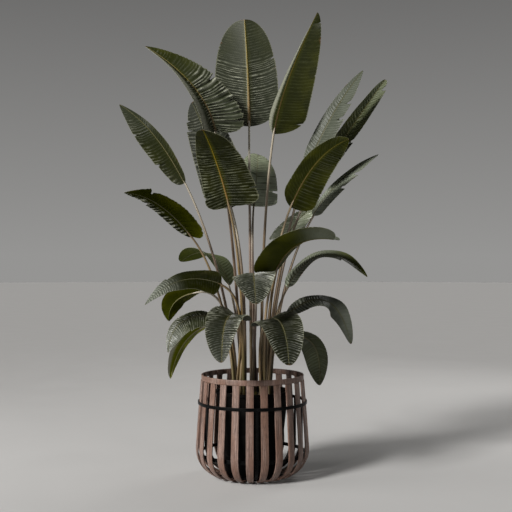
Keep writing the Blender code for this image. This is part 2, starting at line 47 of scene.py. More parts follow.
# Basket
SLATS = 24
SLAT_PITCH = tau / SLATS
SLAT_TURN = radians(-2.5)
SLAT_THICK = 0.006
SLAT_WIDTH_FOOT = 0.020
SLAT_WIDTH_BELLY = 0.031
SLAT_WIDTH_TOP = 0.0296
SLAT_CORNER = 0.0016
SLAT_SEED = 24
BASKET_HEIGHT = 0.425
FOOT_INNER_R = 0.108
FOOT_R = 0.122
BEND_R = 0.115
BELLY_R = FOOT_R + BEND_R
TOP_R = 0.2145
SIDE_POWER = 1.15
FOOT_ROWS = 3
BEND_ROWS = 26
SIDE_ROWS = 36

HOOP_HEIGHT = 0.022
HOOP_THICK = 0.003
HOOP_CORNER = 0.0010
HOOP_SEED = 3.0
LAP_LOW = BASKET_HEIGHT - HOOP_HEIGHT - GAP
LAP_R = TOP_R - HOOP_THICK - 2 * GAP
LAP_THICK = 0.0022  # what is left of a slat behind the hoop
LAP_ROWS = 4
ROUND_STEPS = 192

RING_R = 0.2247
RING_THICK = 0.004
RING_LOW = 0.3035
RING_HEIGHT = 0.013
STRAP_WIDTH = 0.012
STRAP_THICK = 0.004
STRAPS = 6
METAL_CORNER = 0.0009
METAL_RINGS = (  # inner radius, thickness, low edge and height
    (RING_R, RING_THICK, RING_LOW, RING_HEIGHT),
    (0.219, 0.0035, 0.090, 0.015),
)
RIVET_R = 0.0034
RIVET_RISE = 0.0022
RIVET_DOME = 0.9  # of a quarter turn
RIVET_RINGS = 5
RIVET_SIDES = 16

DISC_THICK = 0.016
DISC_R = 0.121
DISC_EDGE = 0.0015
DISC_STEPS = 96

# Pot and soil
POT_FOOT_R = 0.115
POT_TOP_R = 0.150
POT_HEIGHT = 0.342
POT_WALL = 0.0025
POT_EDGE = 0.003
POT_LIP_R = 0.156
POT_LIP_HEIGHT = 0.012
POT_LIP_EDGE = 0.0012
POT_LIP_FOLD = (0.0006, 0.0008)  # how far its lower edge is cut back, across and up
POT_MOUTH_EDGE = 0.001
POT_LOW = DISC_THICK + GAP
POT_TOP = POT_LOW + POT_HEIGHT
POT_STEPS = 128
GROOVES = (0.09, 0.19, POT_TOP - 0.055)
GROOVE_HALF = 0.004
GROOVE_DEEP = 0.0008
SOIL_TOP = 0.330
SOIL_STEPS = 96
SOIL_RINGS = 26
SOIL_SEED = 7
SWELLS = 14
SWELL_PITCH = 160  # radians to the metre, at most
SWELL_HEIGHT = 0.0011
SOIL_ROUGH = 0.0012
SOIL_SINK = 0.002
CRUMBS = 420
CRUMB_SIZE = (0.0015, 0.0055)
CRUMB_SPREAD = 0.97  # of the soil's radius

# Shoots
CROWN_R = 0.030
CROWN_TOP_R = 0.025
CROWN_LOW = 0.285
CROWN_TOP = 0.352
CROWN_SIDES = 48
CROWN_ROWS = 14
SHOOTS = {  # where each crown stands, and how lilac grey its stalks are, which also sets the painted light at their tops
    "front_left": (-0.055, -0.045, 0.1),
    "back_left": (-0.050, 0.050, 0.7),
    "middle": (0.000, 0.000, 1.0),
    "front_right": (0.050, -0.045, 0.2),
    "back_right": (0.055, 0.050, 0.5),
}
ROOT_Z = 0.310
STALK_ROOT_R = 0.0075
STALK_TOP_R = 0.0045
STALK_FLARE = 0.35
STALK_RISE = 0.30
STALK_TURN = 0.30
STALK_ROWS = 64
STALK_SIDES = 18
STALK_INTO_RIB = 0.030  # how far the stalk runs on under the blade
STALK_END_ROWS = 4
STALK_END = (0.95, 0.5)  # how thin it gets there
CHANNEL_HALF = 0.55  # radians round the stalk
CHANNEL_DEEP = 0.30

# Blades
SIGNS = (-1, 1)  # of the left and the right half
PETIOLE_HALF = 0.0055
PETIOLE_TAPER = 0.7
RIB_THICK = 0.0055
RIB_TAPER = 0.6
BLADE_THICK = 0.0009
ROWS_PER_PLEAT = 8
ROW_EASE = 0.25
END_ROWS = (0.0003, 0.0012)  # rows that round the blade's base and tip
END_TAPER = 0.03  # the pleats are full where a half is wider than this
RIB_STEPS = (0.0, 0.5, 0.9, 1.15)  # columns on the rib, as shares of its half width
RIB_RELIEF = (-0.5, 0.1, 1.0, 0.0)  # a channel between two low shoulders
RIB_NARROWS = 0.72
RIB_MOST = 0.45  # of the blade's half width
RIB_RISE = 0.0010
LAMINA_STEPS = (0.03, 0.15, 0.3, 0.45, 0.6, 0.75, 0.89, 1.0)  # columns from the rib to the edge
RIDGE_HALF = 0.17  # half width of a ridge, as a share of the pleats' pitch
RIDGE_MEAN = 0.3
FADE_BAND = 0.15
TEAR_HALF = 0.010
TEAR_LIFT = 0.020
TEAR_RUN = 0.06
VEIN_BEND = 0.035  # how far the side veins curve towards the tip, as a share of the length
VEIN_WANDER = 0.0035
VEINS_PER_PLEAT = 7
SCALLOP = 15.0  # how far the edge draws back between pleats, times their height
WAVE = 0.0035
NICKS = 7
NICK_HALF = TEAR_HALF / 2
NICK_PLACE = (0.08, 0.95)
NICK_DEPTH = (0.02, 0.09)
PLEAT_DRIFT = (18, 0.6)  # waves along the blade, and how much they move the pleats
VEIN_DRIFT = (6, 2.5)
DEPTH_DRIFT = (14, 3.0)
DEPTH_UNEVEN = (40, 0.5)
EDGE_WAVES = (6, 1.0)
DRY_PATCHES = (20, 1.0)
DRY_OVER = 0.9
DRY_TIP = 0.985

Pair = float | tuple  # one number stands for two that are equal


class Look(NamedTuple):
    """How a blade is pleated and coloured."""

    pleats: int
    height: float  # of the pleats, from their mean plane
    tone: float  # how light the blade is; raised on some blades that lie in shade, which paints light into them
    pale: Pair  # at base and tip: 0 green, 1 pale grey green; on some blades a high value is painted light on that end
    ridge: Pair  # how pale the ridges of each half are: paler veins with painted highlights
    outer: float = 0.0  # 1 keeps the pale ridges and their painted highlights near the edge
    gloss: float = 0.4
    olive: Pair = 0.3  # how olive the underside is, at base and tip
    tint: Pair = 0.0  # how olive the upper side is, at base and tip
    gold: float = 0.1  # the rib: 0 like the blade, 1 golden
    rib: float = 0.0042  # half width of the rib at its base
    fade: Pair = 1.0  # share of each half up to which the pleats stay deep
    deep: tuple = (0.0, 1.0)  # the part of the length on which they are deep
    rim: Pair = 0.0  # painted light on the outer part of each half
    upper: float = 1.0  # how light the upper side is, as a share of the tone, which keeps the tone's painted light on the underside


class Leaf(NamedTuple):
    """A blade and its stalk. Left and right are those of its upper side with the tip up."""

    name: str
    shoot: str
    root: tuple  # the stalk's foot, from its crown's centre
    base: tuple  # the midrib passes base, mid and tip
    mid: tuple
    tip: tuple
    face: tuple  # where the upper side looks: azimuth from +X and elevation, degrees
    width: tuple  # of the left and the right half
    sweep: tuple  # how far the veins run towards the tip, at the base and at the tip
    look: Look
    fold: tuple = (10, 10)  # how far the halves rise from the rib's plane, degrees
    twist: float = 0.0  # degrees from base to tip
    blunt: float = 0.6  # 0 pointed, 1 round
    shoulder: float = 0.14  # share of the length on which the blade widens
    droop: float = 0.1  # how far the edges hang back
    tears: tuple = ()  # side (-1 left, 1 right), place along the midrib, depth


LEAVES = (
    Leaf("top_middle", "middle", (-0.005, 0.018), (-0.015, 0.08, 1.475), (-0.02, 0.085, 1.69),
         (-0.035, 0.11, 1.94), face=(95, 0), width=(0.13, 0.145), sweep=(0.1, 0.2), fold=(10, 12),
         twist=-10, blunt=0.9, shoulder=0.22, droop=0.15, tears=((-1, 0.6, 0.22), (1, 0.42, 0.15)),
         look=Look(42, 0.0011, 0.65, (0.6, 0.3), 1.3, olive=(0.1, 0.3), gold=0.8, rib=0.007,
                   fade=(0.8, 1.0), deep=(0.0, 0.55))),
    # rim paints light on the left half, which faces away from the lamp
    Leaf("top_left", "back_left", (0.0, -0.02), (-0.155, -0.02, 1.44), (-0.25, -0.03, 1.63),
         (-0.45, 0.0, 1.8), face=(-85, 25), width=(0.085, 0.13), sweep=(-0.45, 0.15), fold=(45, 5),
         twist=10, blunt=0.2, shoulder=0.16, droop=0,
         tears=((1, 0.12, 0.35), (1, 0.26, 0.3), (1, 0.46, 0.35)),
         look=Look(34, 0.0028, 1.0, (0.4, 0.0), 1.5, tint=(0.0, 0.6), gold=0.6, rib=0.005,
                   fade=(0.15, 0.95), deep=(0.0, 0.5), rim=(1.0, 0.0))),
    # rim paints light on the outer part of the right half
    Leaf("top_right", "back_right", (-0.018, 0.0), (0.09, -0.02, 1.43), (0.15, -0.015, 1.655),
         (0.275, 0.03, 1.95), face=(50, 10), width=(0.12, 0.1), sweep=(0.15, 0.25), fold=(35, 40),
         twist=-15, blunt=0.5, shoulder=0.2, droop=0.05, tears=((-1, 0.93, 0.4), (-1, 0.1, 0.25)),
         look=Look(36, 0.0006, 0.65, (0.0, 0.2), 0.1, gloss=0.15, olive=(0.8, 0.7), gold=0.7, rib=0.0034,
                   rim=(0.0, 0.6))),
    Leaf("right_pale", "back_right", (0.006, -0.002), (0.23, 0.03, 1.285), (0.335, 0.02, 1.51),
         (0.47, 0.06, 1.71), face=(-125, 30), width=(0.04, 0.07), sweep=(0.15, 0.25), fold=(20, 5),
         twist=10, blunt=0.35, shoulder=0.18, droop=0.15, tears=((1, 0.46, 0.35), (1, 0.62, 0.35)),
         look=Look(38, 0.0005, 0.62, (2.0, 1.8), 0.1, gloss=0.12)),
    Leaf("right_folded", "back_right", (0.016, 0.012), (0.275, 0.12, 1.245), (0.435, 0.16, 1.485),
         (0.59, 0.24, 1.705), face=(-80, 50), width=(0.04, 0.09), sweep=(0.15, 0.35), fold=(50, 40),
         twist=10, shoulder=0.12, droop=0, tears=((1, 0.85, 0.4), (1, 0.3, 0.2)),
         look=Look(30, 0.0007, 1.8, (0.3, 0.8), 0.4, tint=(0.6, 0.2), gold=0.3)),
    Leaf("left_high", "back_left", (-0.02, 0.0), (-0.29, 0.05, 1.23), (-0.425, 0.08, 1.44),
         (-0.58, 0.15, 1.58), face=(-175, 45), width=(0.105, 0.03), sweep=(0.05, 0.6), fold=(5, -5),
         twist=-15, blunt=0.1, shoulder=0.1, tears=((-1, 0.22, 0.25), (-1, 0.55, 0.2)),
         look=Look(34, 0.0006, 0.5, (0.1, 0.5), (0.6, 0.1), outer=1.0, gloss=0.05, tint=(0.5, 0.0),
                   gold=0.2, rib=0.0022, deep=(0.0, 0.8))),
    # its lower part lies in cast shadow; the high tone and pale base paint light into it
    Leaf("back_high", "middle", (0.012, 0.015), (0.005, 0.13, 1.135), (0.015, 0.28, 1.26),
         (0.025, 0.46, 1.395), face=(-65, 40), width=(0.085, 0.1), sweep=(0, 0.25), fold=(0, 15),
         twist=15, blunt=0.9, droop=0.15, tears=((1, 0.3, 0.3),),
         look=Look(32, 0.0011, 4.3, (1.9, 0.8), 0.7, gloss=0.15)),
    Leaf("front_high", "front_left", (0.018, -0.008), (-0.095, -0.11, 1.125), (-0.145, -0.15, 1.3),
         (-0.195, -0.22, 1.42), face=(60, 40), width=(0.14, 0.1), sweep=(-0.25, 0.05), fold=(0, 5),
         twist=-25, blunt=0.9, shoulder=0.12, droop=0.05, tears=((-1, 0.18, 0.25), (1, 0.14, 0.25)),
         look=Look(36, 0.0011, 0.34, 0.0, 0.9, outer=0.5, gloss=0.08, olive=1.0, gold=1.0,
                   deep=(0.0, 0.6))),
    Leaf("left_behind", "back_left", (0.018, 0.005), (-0.09, 0.03, 1.125), (-0.17, 0.05, 1.37),
         (-0.26, 0.09, 1.58), face=(70, 10), width=(0.1, 0.1), sweep=(0.05, 0.2), fold=(5, 5), twist=-20,
         blunt=0.75, shoulder=0.16, tears=((1, 0.72, 0.4), (1, 0.82, 0.35)),
         look=Look(30, 0.0006, 0.26, 0.5, 0.6, outer=0.5, gloss=0.12, olive=0.1, deep=(0.0, 0.8))),
    Leaf("right_front_high", "front_right", (0.012, 0.01), (0.16, -0.07, 1.12), (0.26, -0.14, 1.295),
         (0.385, -0.2, 1.385), face=(25, -5), width=(0.095, 0.09), sweep=(0.05, 0.65), fold=(35, 0),
         twist=-10, blunt=0.25, shoulder=0.1, droop=0.05, tears=((-1, 0.66, 0.25),),
         look=Look(32, 0.0007, 0.45, 0.0, 0.1, gloss=0.04, olive=1.0, gold=0.6, rib=0.002)),
    Leaf("right_narrow", "back_right", (0.02, -0.006), (0.26, 0.085, 1.095), (0.385, 0.1, 1.25),
         (0.55, 0.18, 1.365), face=(-65, 75), width=(0.02, 0.08), sweep=(0.05, 0.25), fold=(10, 15),
         twist=-10, blunt=0.65, shoulder=0.06, tears=((1, 0.35, 0.3), (1, 0.55, 0.35)),
         look=Look(32, 0.0006, 1.35, (1.9, 2.2), 0.3, gloss=0.15)),
    Leaf("back_right", "back_right", (-0.005, 0.02), (0.15, 0.16, 1.005), (0.2, 0.25, 1.075),
         (0.275, 0.38, 1.145), face=(-135, 60), width=(0.095, 0.08), sweep=(-0.2, 0.1), fold=(5, 10),
         twist=5, blunt=0.7, shoulder=0.12,
         look=Look(28, 0.0018, 2.8, 0.9, 1.4, gold=0.2)),
    Leaf("left_folded", "front_left", (-0.02, -0.005), (-0.25, -0.035, 1.0), (-0.38, -0.14, 1.13),
         (-0.505, -0.24, 1.17), face=(-130, 55), width=(0.095, 0.07), sweep=(-0.4, 0.3), fold=(35, -25),
         twist=5, blunt=0.2, shoulder=0.16, droop=0.05, tears=((1, 0.55, 0.3), (-1, 0.66, 0.55)),
         look=Look(22, 0.0022, 0.92, 0.0, (0.0, 6.0), outer=1.0, gloss=0.0, olive=1.0, tint=1.0,
                   rib=0.002, fade=(0.1, 1.0))),
    Leaf("right_arch_front", "front_right", (0.0, 0.004), (0.09, -0.085, 0.85), (0.18, -0.165, 0.965),
         (0.32, -0.255, 0.985), face=(120, 50), width=(0.1, 0.145), sweep=(-0.25, 0.95), fold=(35, 5),
         twist=-15, blunt=0.75, shoulder=0.2, droop=0.2,
         look=Look(30, 0.0004, 1.6, (0.0, 1.8), 0.0, gloss=0.08, olive=(1.0, 0.2), gold=0.5, rib=0.0024,
                   upper=0.7)),
    Leaf("middle_droop", "middle", (0.0, -0.018), (0.01, -0.075, 0.81), (0.005, -0.205, 0.845),
         (0.015, -0.325, 0.735), face=(-110, 70), width=(0.085, 0.085), sweep=(0.25, 0.35), fold=(0, 10),
         twist=-25, blunt=0.65, shoulder=0.18, droop=0.2,
         look=Look(38, 0.0024, 0.38, (0.0, 1.0), (1.7, 2.3), outer=0.7, gold=0.3, rib=0.0034)),
    # the pale tip is painted light where the tip faces the lamp
    Leaf("left_arch", "front_left", (-0.012, 0.01), (-0.13, -0.105, 0.805), (-0.29, -0.14, 0.82),
         (-0.43, -0.185, 0.725), face=(-80, 55), width=(0.06, 0.095), sweep=(-0.1, -0.1), fold=(-5, -10),
         twist=20, blunt=0.2, shoulder=0.1, droop=0.15, tears=((1, 0.62, 0.25),),
         look=Look(34, 0.001, 0.4, (0.0, 6.0), 0.8, gloss=0.15, olive=0.7, tint=(1.0, 0.0), rib=0.0018,
                   deep=(0.65, 1.0))),
    Leaf("back_left", "back_left", (0.002, 0.02), (-0.1, 0.09, 0.795), (-0.195, 0.19, 0.93),
         (-0.325, 0.32, 0.895), face=(-30, 60), width=(0.075, 0.095), sweep=(0.5, 0.3), fold=(10, 0),
         twist=-10, blunt=0.75, shoulder=0.18, droop=0.05,
         look=Look(28, 0.0005, 3.1, (0.4, 0.0), 0.3, gloss=0.0, tint=(0.1, 1.0), rib=0.003,
                   deep=(0.0, 0.3))),
    Leaf("right_arch", "front_right", (0.018, -0.006), (0.145, -0.02, 0.79), (0.3, -0.04, 0.925),
         (0.47, -0.1, 0.835), face=(-135, 75), width=(0.08, 0.07), sweep=(0.1, 0.15), fold=(10, 5),
         blunt=0.3, shoulder=0.08, tears=((1, 0.7, 0.2),),
         look=Look(38, 0.001, 1.35, (1.2, 1.0), 1.0, gloss=0.02, olive=0.0, tint=(0.0, 1.0),
                   deep=(0.0, 0.45))),
    Leaf("left_hang", "back_left", (-0.018, 0.012), (-0.22, 0.03, 0.77), (-0.325, 0.06, 0.73),
         (-0.36, 0.1, 0.64), face=(70, 55), width=(0.06, 0.055), sweep=(0.6, 0.1), fold=(10, 20),
         twist=-10, blunt=0.4, shoulder=0.22,
         look=Look(22, 0.0004, 1.7, 0.0, 0.0, gloss=0.02, olive=1.0, gold=0.2, rib=0.002, upper=0.6)),
    Leaf("right_low_arch", "back_right", (0.012, -0.018), (0.15, 0.03, 0.675), (0.32, 0.06, 0.725),
         (0.425, 0.12, 0.54), face=(-135, 45), width=(0.045, 0.045), sweep=(0, 0.05), fold=(0, 5),
         twist=-15, blunt=0.8, shoulder=0.2,
         look=Look(34, 0.001, 0.35, (3.0, 3.5), 0.8, gloss=0.03, olive=0.0, deep=(0.0, 0.35))),
    Leaf("left_low_arch", "front_left", (-0.02, 0.002), (-0.17, -0.02, 0.67), (-0.3, -0.06, 0.64),
         (-0.345, -0.1, 0.525), face=(-115, 50), width=(0.08, 0.035), sweep=(0.1, 0.35), fold=(0, 10),
         twist=-25, blunt=0.25, shoulder=0.12, tears=((-1, 0.35, 0.25),),
         look=Look(30, 0.0009, 0.65, (0.4, 1.8), 0.7, olive=0.2, tint=(0.5, 0.0))),
    Leaf("front_left_droop", "front_left", (0.002, -0.02), (-0.06, -0.085, 0.665), (-0.105, -0.235, 0.66),
         (-0.115, -0.38, 0.515), face=(-105, 35), width=(0.075, 0.085), sweep=(-0.05, 0.25),
         fold=(15, 15), twist=20, blunt=0.7, tears=((-1, 0.5, 0.15),),
         look=Look(38, 0.0017, 0.28, (0.0, 0.8), (1.6, 1.4), outer=0.85, tint=(0.5, 0.0), gold=0.35,
                   rib=0.0036)),
    Leaf("front_right_droop", "front_right", (-0.014, -0.014), (0.055, -0.08, 0.645),
         (0.115, -0.23, 0.65), (0.14, -0.38, 0.505), face=(-80, 50), width=(0.085, 0.095),
         sweep=(0.1, 0.35), twist=-5, blunt=0.7, tears=((1, 0.45, 0.25),),
         look=Look(38, 0.0015, 0.25, (0.0, 0.5), (1.1, 1.5), outer=0.85, tint=(0.6, 0.2), gold=0.2,
                   rib=0.0036)),
    # its underside lies in shade; the high tone and the rim paint light into it
    Leaf("left_low_hang", "back_left", (-0.01, 0.018), (-0.2, 0.05, 0.625), (-0.3, 0.08, 0.54),
         (-0.355, 0.12, 0.39), face=(150, 75), width=(0.055, 0.05), sweep=(0.1, 0.1), fold=(25, 5),
         twist=-15, blunt=0.45,
         look=Look(24, 0.0005, 6.5, 0.0, 0.0, gloss=0.05, olive=1.0, tint=0.5, gold=0.2, rib=0.0018,
                   rim=(1.0, 0.0), upper=0.1)),
    Leaf("right_low_hang", "back_right", (0.004, 0.018), (0.16, 0.1, 0.58), (0.27, 0.16, 0.525),
         (0.295, 0.2, 0.35), face=(85, 65), width=(0.085, 0.05), sweep=(0.3, 0.4), fold=(10, 5), twist=5,
         blunt=0.55,
         look=Look(28, 0.0007, 1.0, (0.5, 0.7), 0.3, outer=0.5, gloss=0.2, olive=0.2, gold=0.2)),
)

LEAF_DARK = (0.007, 0.009, 0.002)
LEAF_GREEN = (0.028, 0.035, 0.009)
LEAF_PALE = (0.111, 0.124, 0.088)
# paler veins on the ridges with painted highlights; the first also paints light on rims
PALE_VEIN_AND_HIGHLIGHT = (0.44, 0.45, 0.36)
OLIVE_VEIN_AND_HIGHLIGHT = (0.225, 0.25, 0.11)
LEAF_OLIVE = (0.022, 0.026, 0.001)
LEAF_YELLOW = (0.074, 0.078, 0.003)
LEAF_GLOW = (0.14, 0.155, 0.004)
# thin pale margin, partly a painted edge highlight
LEAF_EDGE = (0.2, 0.205, 0.13)
RIB_GREEN = (0.085, 0.09, 0.055)
RIB_TAN = (0.23, 0.135, 0.05)
RIB_OCHRE = (0.19, 0.138, 0.008)
DRY_BROWN = (0.11, 0.055, 0.022)
STALK_PALE = (0.39, 0.295, 0.19)
STALK_LILAC = (0.175, 0.126, 0.1)
# pale grey of the stalks' tops, partly painted light
STALK_GREY_LIT = (0.56, 0.53, 0.43)
STALK_GOLD = (0.145, 0.091, 0.022)
STALK_TAN = (0.05, 0.027, 0.01)
STALK_BROWN = (0.032, 0.012, 0.003)
STALK_GREEN = (0.1, 0.09, 0.006)
WOOD_LIGHT = (0.375, 0.256, 0.211)
WOOD_MID = (0.105, 0.059, 0.043)
WOOD_RED = (0.165, 0.085, 0.056)
WOOD_DARK = (0.01, 0.004, 0.003)
METAL_BLACK = (0.0015, 0.0015, 0.0015)
METAL_GREY = (0.004, 0.004, 0.004)
POT_BLACK = (0.0015, 0.0012, 0.001)
POT_GREY = (0.003, 0.0025, 0.002)
SOIL_DARK = (0.014, 0.009, 0.006)
SOIL_LIGHT = (0.085, 0.05, 0.03)

# Setting
FLOOR_PALE = (0.5, 0.495, 0.49)
FLOOR_R = 30
FLOOR_DROP = 0.0005
LIGHT_PALE = (1.0, 0.99, 0.97)
SKY_LOW = 0.30
SKY_HIGH = 0.02
SKY_FADE = 0.5  # the height, as a share of the way overhead, at which the sky is darkest
KEY_WARM = (1.0, 0.985, 0.96)
KEY_STRENGTH = 4.2
KEY_SPREAD = 14  # degrees
KEY_FROM = (-0.62, -0.6, 0.5)
AREA_LIGHTS = {  # where each stands and points, its size and its watts
    "side": ((-2.8, -0.3, 1.7), (0, 0, 0.9), 1.5, 30),
    "rim": ((2.2, 2.8, 2.6), (0, 0, 1.1), 1.6, 30),
}
CAMERA_AT = (0.0147, -3.96, 0.92)
FOCAL_PIXELS = 943
IMAGE_PIXELS = 512
SENSOR_MM = 36


# Materials

class Graph:
    """The nodes of a material or a world under construction."""

    def __init__(self, owner):
        owner.use_nodes = True
        self.owner, self.nodes, self.links = owner, owner.node_tree.nodes, owner.node_tree.links

    def feed(self, socket, value):
        if isinstance(value, bpy.types.NodeSocket):
            self.links.new(value, socket)
        elif isinstance(value, tuple) and len(value) == 3 and socket.type == "RGBA":
            socket.default_value = (*value, 1.0)
        else:
            socket.default_value = value

    def node(self, kind, inputs, **settings):
        made = self.nodes.new(f"ShaderNode{kind}")
        for key, value in settings.items():
            setattr(made, key, value)
        for key, value in inputs.items():
            self.feed(made.inputs[key], value)
        return made

    def values(self, attribute):
        """The three numbers of a mesh attribute."""
        read = self.node("Attribute", {}, attribute_name=attribute)
        return self.node("SeparateXYZ", {0: read.outputs["Vector"]}).outputs

    def place(self, kind="Object"):
        return self.node("TexCoord", {}).outputs[kind]

    def math(self, operation, a, b=0.0, clamp=False):
        return self.node("Math", {0: a, 1: b}, operation=operation, use_clamp=clamp).outputs[0]

    def times(self, product, *factors):
        for factor in factors:
            product = self.math("MULTIPLY", product, factor)
        return product

    def rest(self, share):
        return self.math("SUBTRACT", 1.0, share)

    def vector(self, x, y, z=0.0):
        return self.node("CombineXYZ", {0: x, 1: y, 2: z}).outputs[0]

    def stretched(self, place, x, y, z=1.0):
        """The place's numbers, each times its own scale."""
        return self.vector(*(self.times(number, scale) for number, scale in zip(place, (x, y, z))))

    def noise(self, place, scale, detail, roughness=0.5):
        inputs = {"Vector": place, "Scale": scale, "Detail": detail, "Roughness": roughness}
        return self.node("TexNoise", inputs).outputs[0]

    def ease(self, value, low, high, to_low=0.0, to_high=1.0):
        inputs = {0: value, 1: low, 2: high, 3: to_low, 4: to_high}
        return self.node("MapRange", inputs, interpolation_type="SMOOTHSTEP").outputs[0]

    def mix(self, factor, a, b):
        return self.node("Mix", {0: factor, 6: a, 7: b}, data_type="RGBA").outputs[2]

    def coats(self, colour, *coats):
        """The colour under coats, each a share and a shade."""
        for share, shade in coats:
            colour = self.mix(share, colour, shade)
        return colour

    def bump(self, height, distance, strength, normal=None):
        inputs = {"Height": height, "Distance": distance, "Strength": strength}
        if normal is not None:
            inputs["Normal"] = normal
        return self.node("Bump", inputs).outputs[0]

    def surface(self, colour, roughness, normal, specular=0.5):
        """Feeds the surface and gives the finished material."""
        inputs = {"Base Color": colour, "Roughness": roughness, "Normal": normal,
                  "Specular IOR Level": specular}
        for key, value in inputs.items():
            self.feed(self.nodes["Principled BSDF"].inputs[key], value)
        return self.owner


def pair(value):
    return value if isinstance(value, tuple) else (value, value)


def between(a, b, share):
    return a + (b - a) * share


def blend(a, b, share):
    return tuple(between(x, y, share) for x, y in zip(a, b))


def dimmed(colour, share):
    return tuple(share * part for part in colour)


def leaf_body(g, look, across, along, under, cloud):
    """Green that may pale towards base or tip and turn olive, and how olive it is."""
    green, olive, yellow = (dimmed(shade, look.tone) for shade in (LEAF_GREEN, LEAF_OLIVE, LEAF_YELLOW))
    # pale ends; on some blades a high value paints light onto that end
    ends = [dimmed(blend(LEAF_GREEN, LEAF_PALE, pale), look.tone) for pale in pair(look.pale)]
    body = g.mix(g.ease(along, 0.2, 0.9), *ends)
    body = g.mix(g.times(cloud, 0.35), body, green)
    # the underside yellows towards the edge, partly a painted glow of light through the blade
    olive = g.mix(g.times(g.ease(across, 0.1, 1.0, 0.05, 0.8), cloud), olive, yellow)
    below, above = (g.ease(along, 0.4, 0.85, *pair(share)) for share in (look.olive, look.tint))
    oliveness = g.math("ADD", g.times(under, below), g.times(g.rest(under), above))
    return g.mix(oliveness, body, olive), oliveness


def rib_shade(g, look, along, fleck):
    """Tan at the base and ochre at the tip, with flecks, or greener where the rib has less gold."""
    # a tone above 1 lightens the rib too, carrying the blade's painted light onto it
    lit = sqrt(max(look.tone, 1.0))
    base, tip = (dimmed(blend(RIB_GREEN, end, look.gold), lit) for end in (RIB_TAN, RIB_OCHRE))
    shade = g.mix(g.ease(along, 0.05, 0.7), base, tip)
    return g.mix(g.ease(fleck, 0.3, 0.8, 0.0, 0.5), shade, blend(tip, LEAF_OLIVE, 0.5))


def leaf_material(leaf):
    """Pleated grey green, olive below, with a rib that runs from tan to ochre and a thin pale edge, and
    with painted shade in the pleats' valleys and painted highlights on their ridges.
    """
    g, look = Graph(bpy.data.materials.new(f"leaf_{leaf.name}")), leaf.look
    across, along, ridge = g.values("vein")
    under, rib, dry = g.values("part")
    valley_shade, side, _ = g.values("crease")
    place = g.place()
    cloud = g.ease(g.noise(place, 11.0, 4.0), 0.35, 0.65)
    fleck = g.noise(place, 70.0, 4.0)
    body, oliveness = leaf_body(g, look, across, along, under, cloud)

    painted_contrast = g.times(g.ease(side, 0.0, 1.0, *pair(look.ridge)),
                       g.ease(across, 0.3, 0.85, 1.0 - look.outer, 1.0))
    broken = g.noise(g.stretched((along, across), look.pleats, 4.0), 1.0, 3.0)
    broken = g.times(g.ease(broken, 0.35, 0.62, 0.1, 1.0), g.ease(cloud, 0.0, 1.0, 0.5, 1.0))
    vein_highlight_shade = g.mix(g.times(oliveness, under, 1.0 - look.outer), PALE_VEIN_AND_HIGHLIGHT, OLIVE_VEIN_AND_HIGHLIGHT)
    colour = g.coats(
        body,
        # painted shade in the pleats' valleys
        (g.times(valley_shade, g.times(g.math("SQRT", painted_contrast), 0.85)), LEAF_DARK),
        # paler veins along the ridges, with painted highlights on them
        (g.times(ridge, painted_contrast, broken), vein_highlight_shade),
        (g.ease(across, 0.0, 0.2, 0.35 * look.gold, 0.0), LEAF_YELLOW),
        # painted light on the outer part of a half
        (g.times(g.ease(side, 0.0, 1.0, *pair(look.rim)), g.ease(across, 0.35, 0.75)), PALE_VEIN_AND_HIGHLIGHT),
        # the upper side is darkened by 1 - upper, keeping the tone's painted light off it
        (g.times(g.rest(under), 1.0 - look.upper), LEAF_DARK),
        # a thin pale margin, partly a painted edge highlight
        (g.ease(across, 0.965, 1.0, 0.0, 0.8), LEAF_EDGE),
        (rib, rib_shade(g, look, along, fleck)),
        (g.math("MULTIPLY", dry, g.ease(fleck, 0.35, 0.6), clamp=True), DRY_BROWN),
    )

    veins = g.math("SINE", g.times(along, tau * look.pleats * VEINS_PER_PLEAT))
    veins = g.times(veins, g.ease(across, 0.02, 0.12))
    normal = g.bump(fleck, 0.0002, 0.15, g.bump(veins, 0.00004, 0.5))
    rough = g.math("ADD", g.times(under, 0.12), g.math("ADD", g.times(fleck, 0.12), 0.28))
    material = g.surface(colour, rough, normal, look.gloss)
    glow = g.node("BsdfTranslucent", {"Color": LEAF_GLOW, "Normal": normal}).outputs[0]
    share = g.ease(rib, 0.0, 1.0, 0.12 + 0.16 * pair(look.olive)[0], 0.0)
    skin = g.nodes["Principled BSDF"].outputs[0]
    mixed = g.node("MixShader", {0: share, 1: skin, 2: glow}).outputs[0]
    g.feed(g.nodes["Material Output"].inputs["Surface"], mixed)
    return material


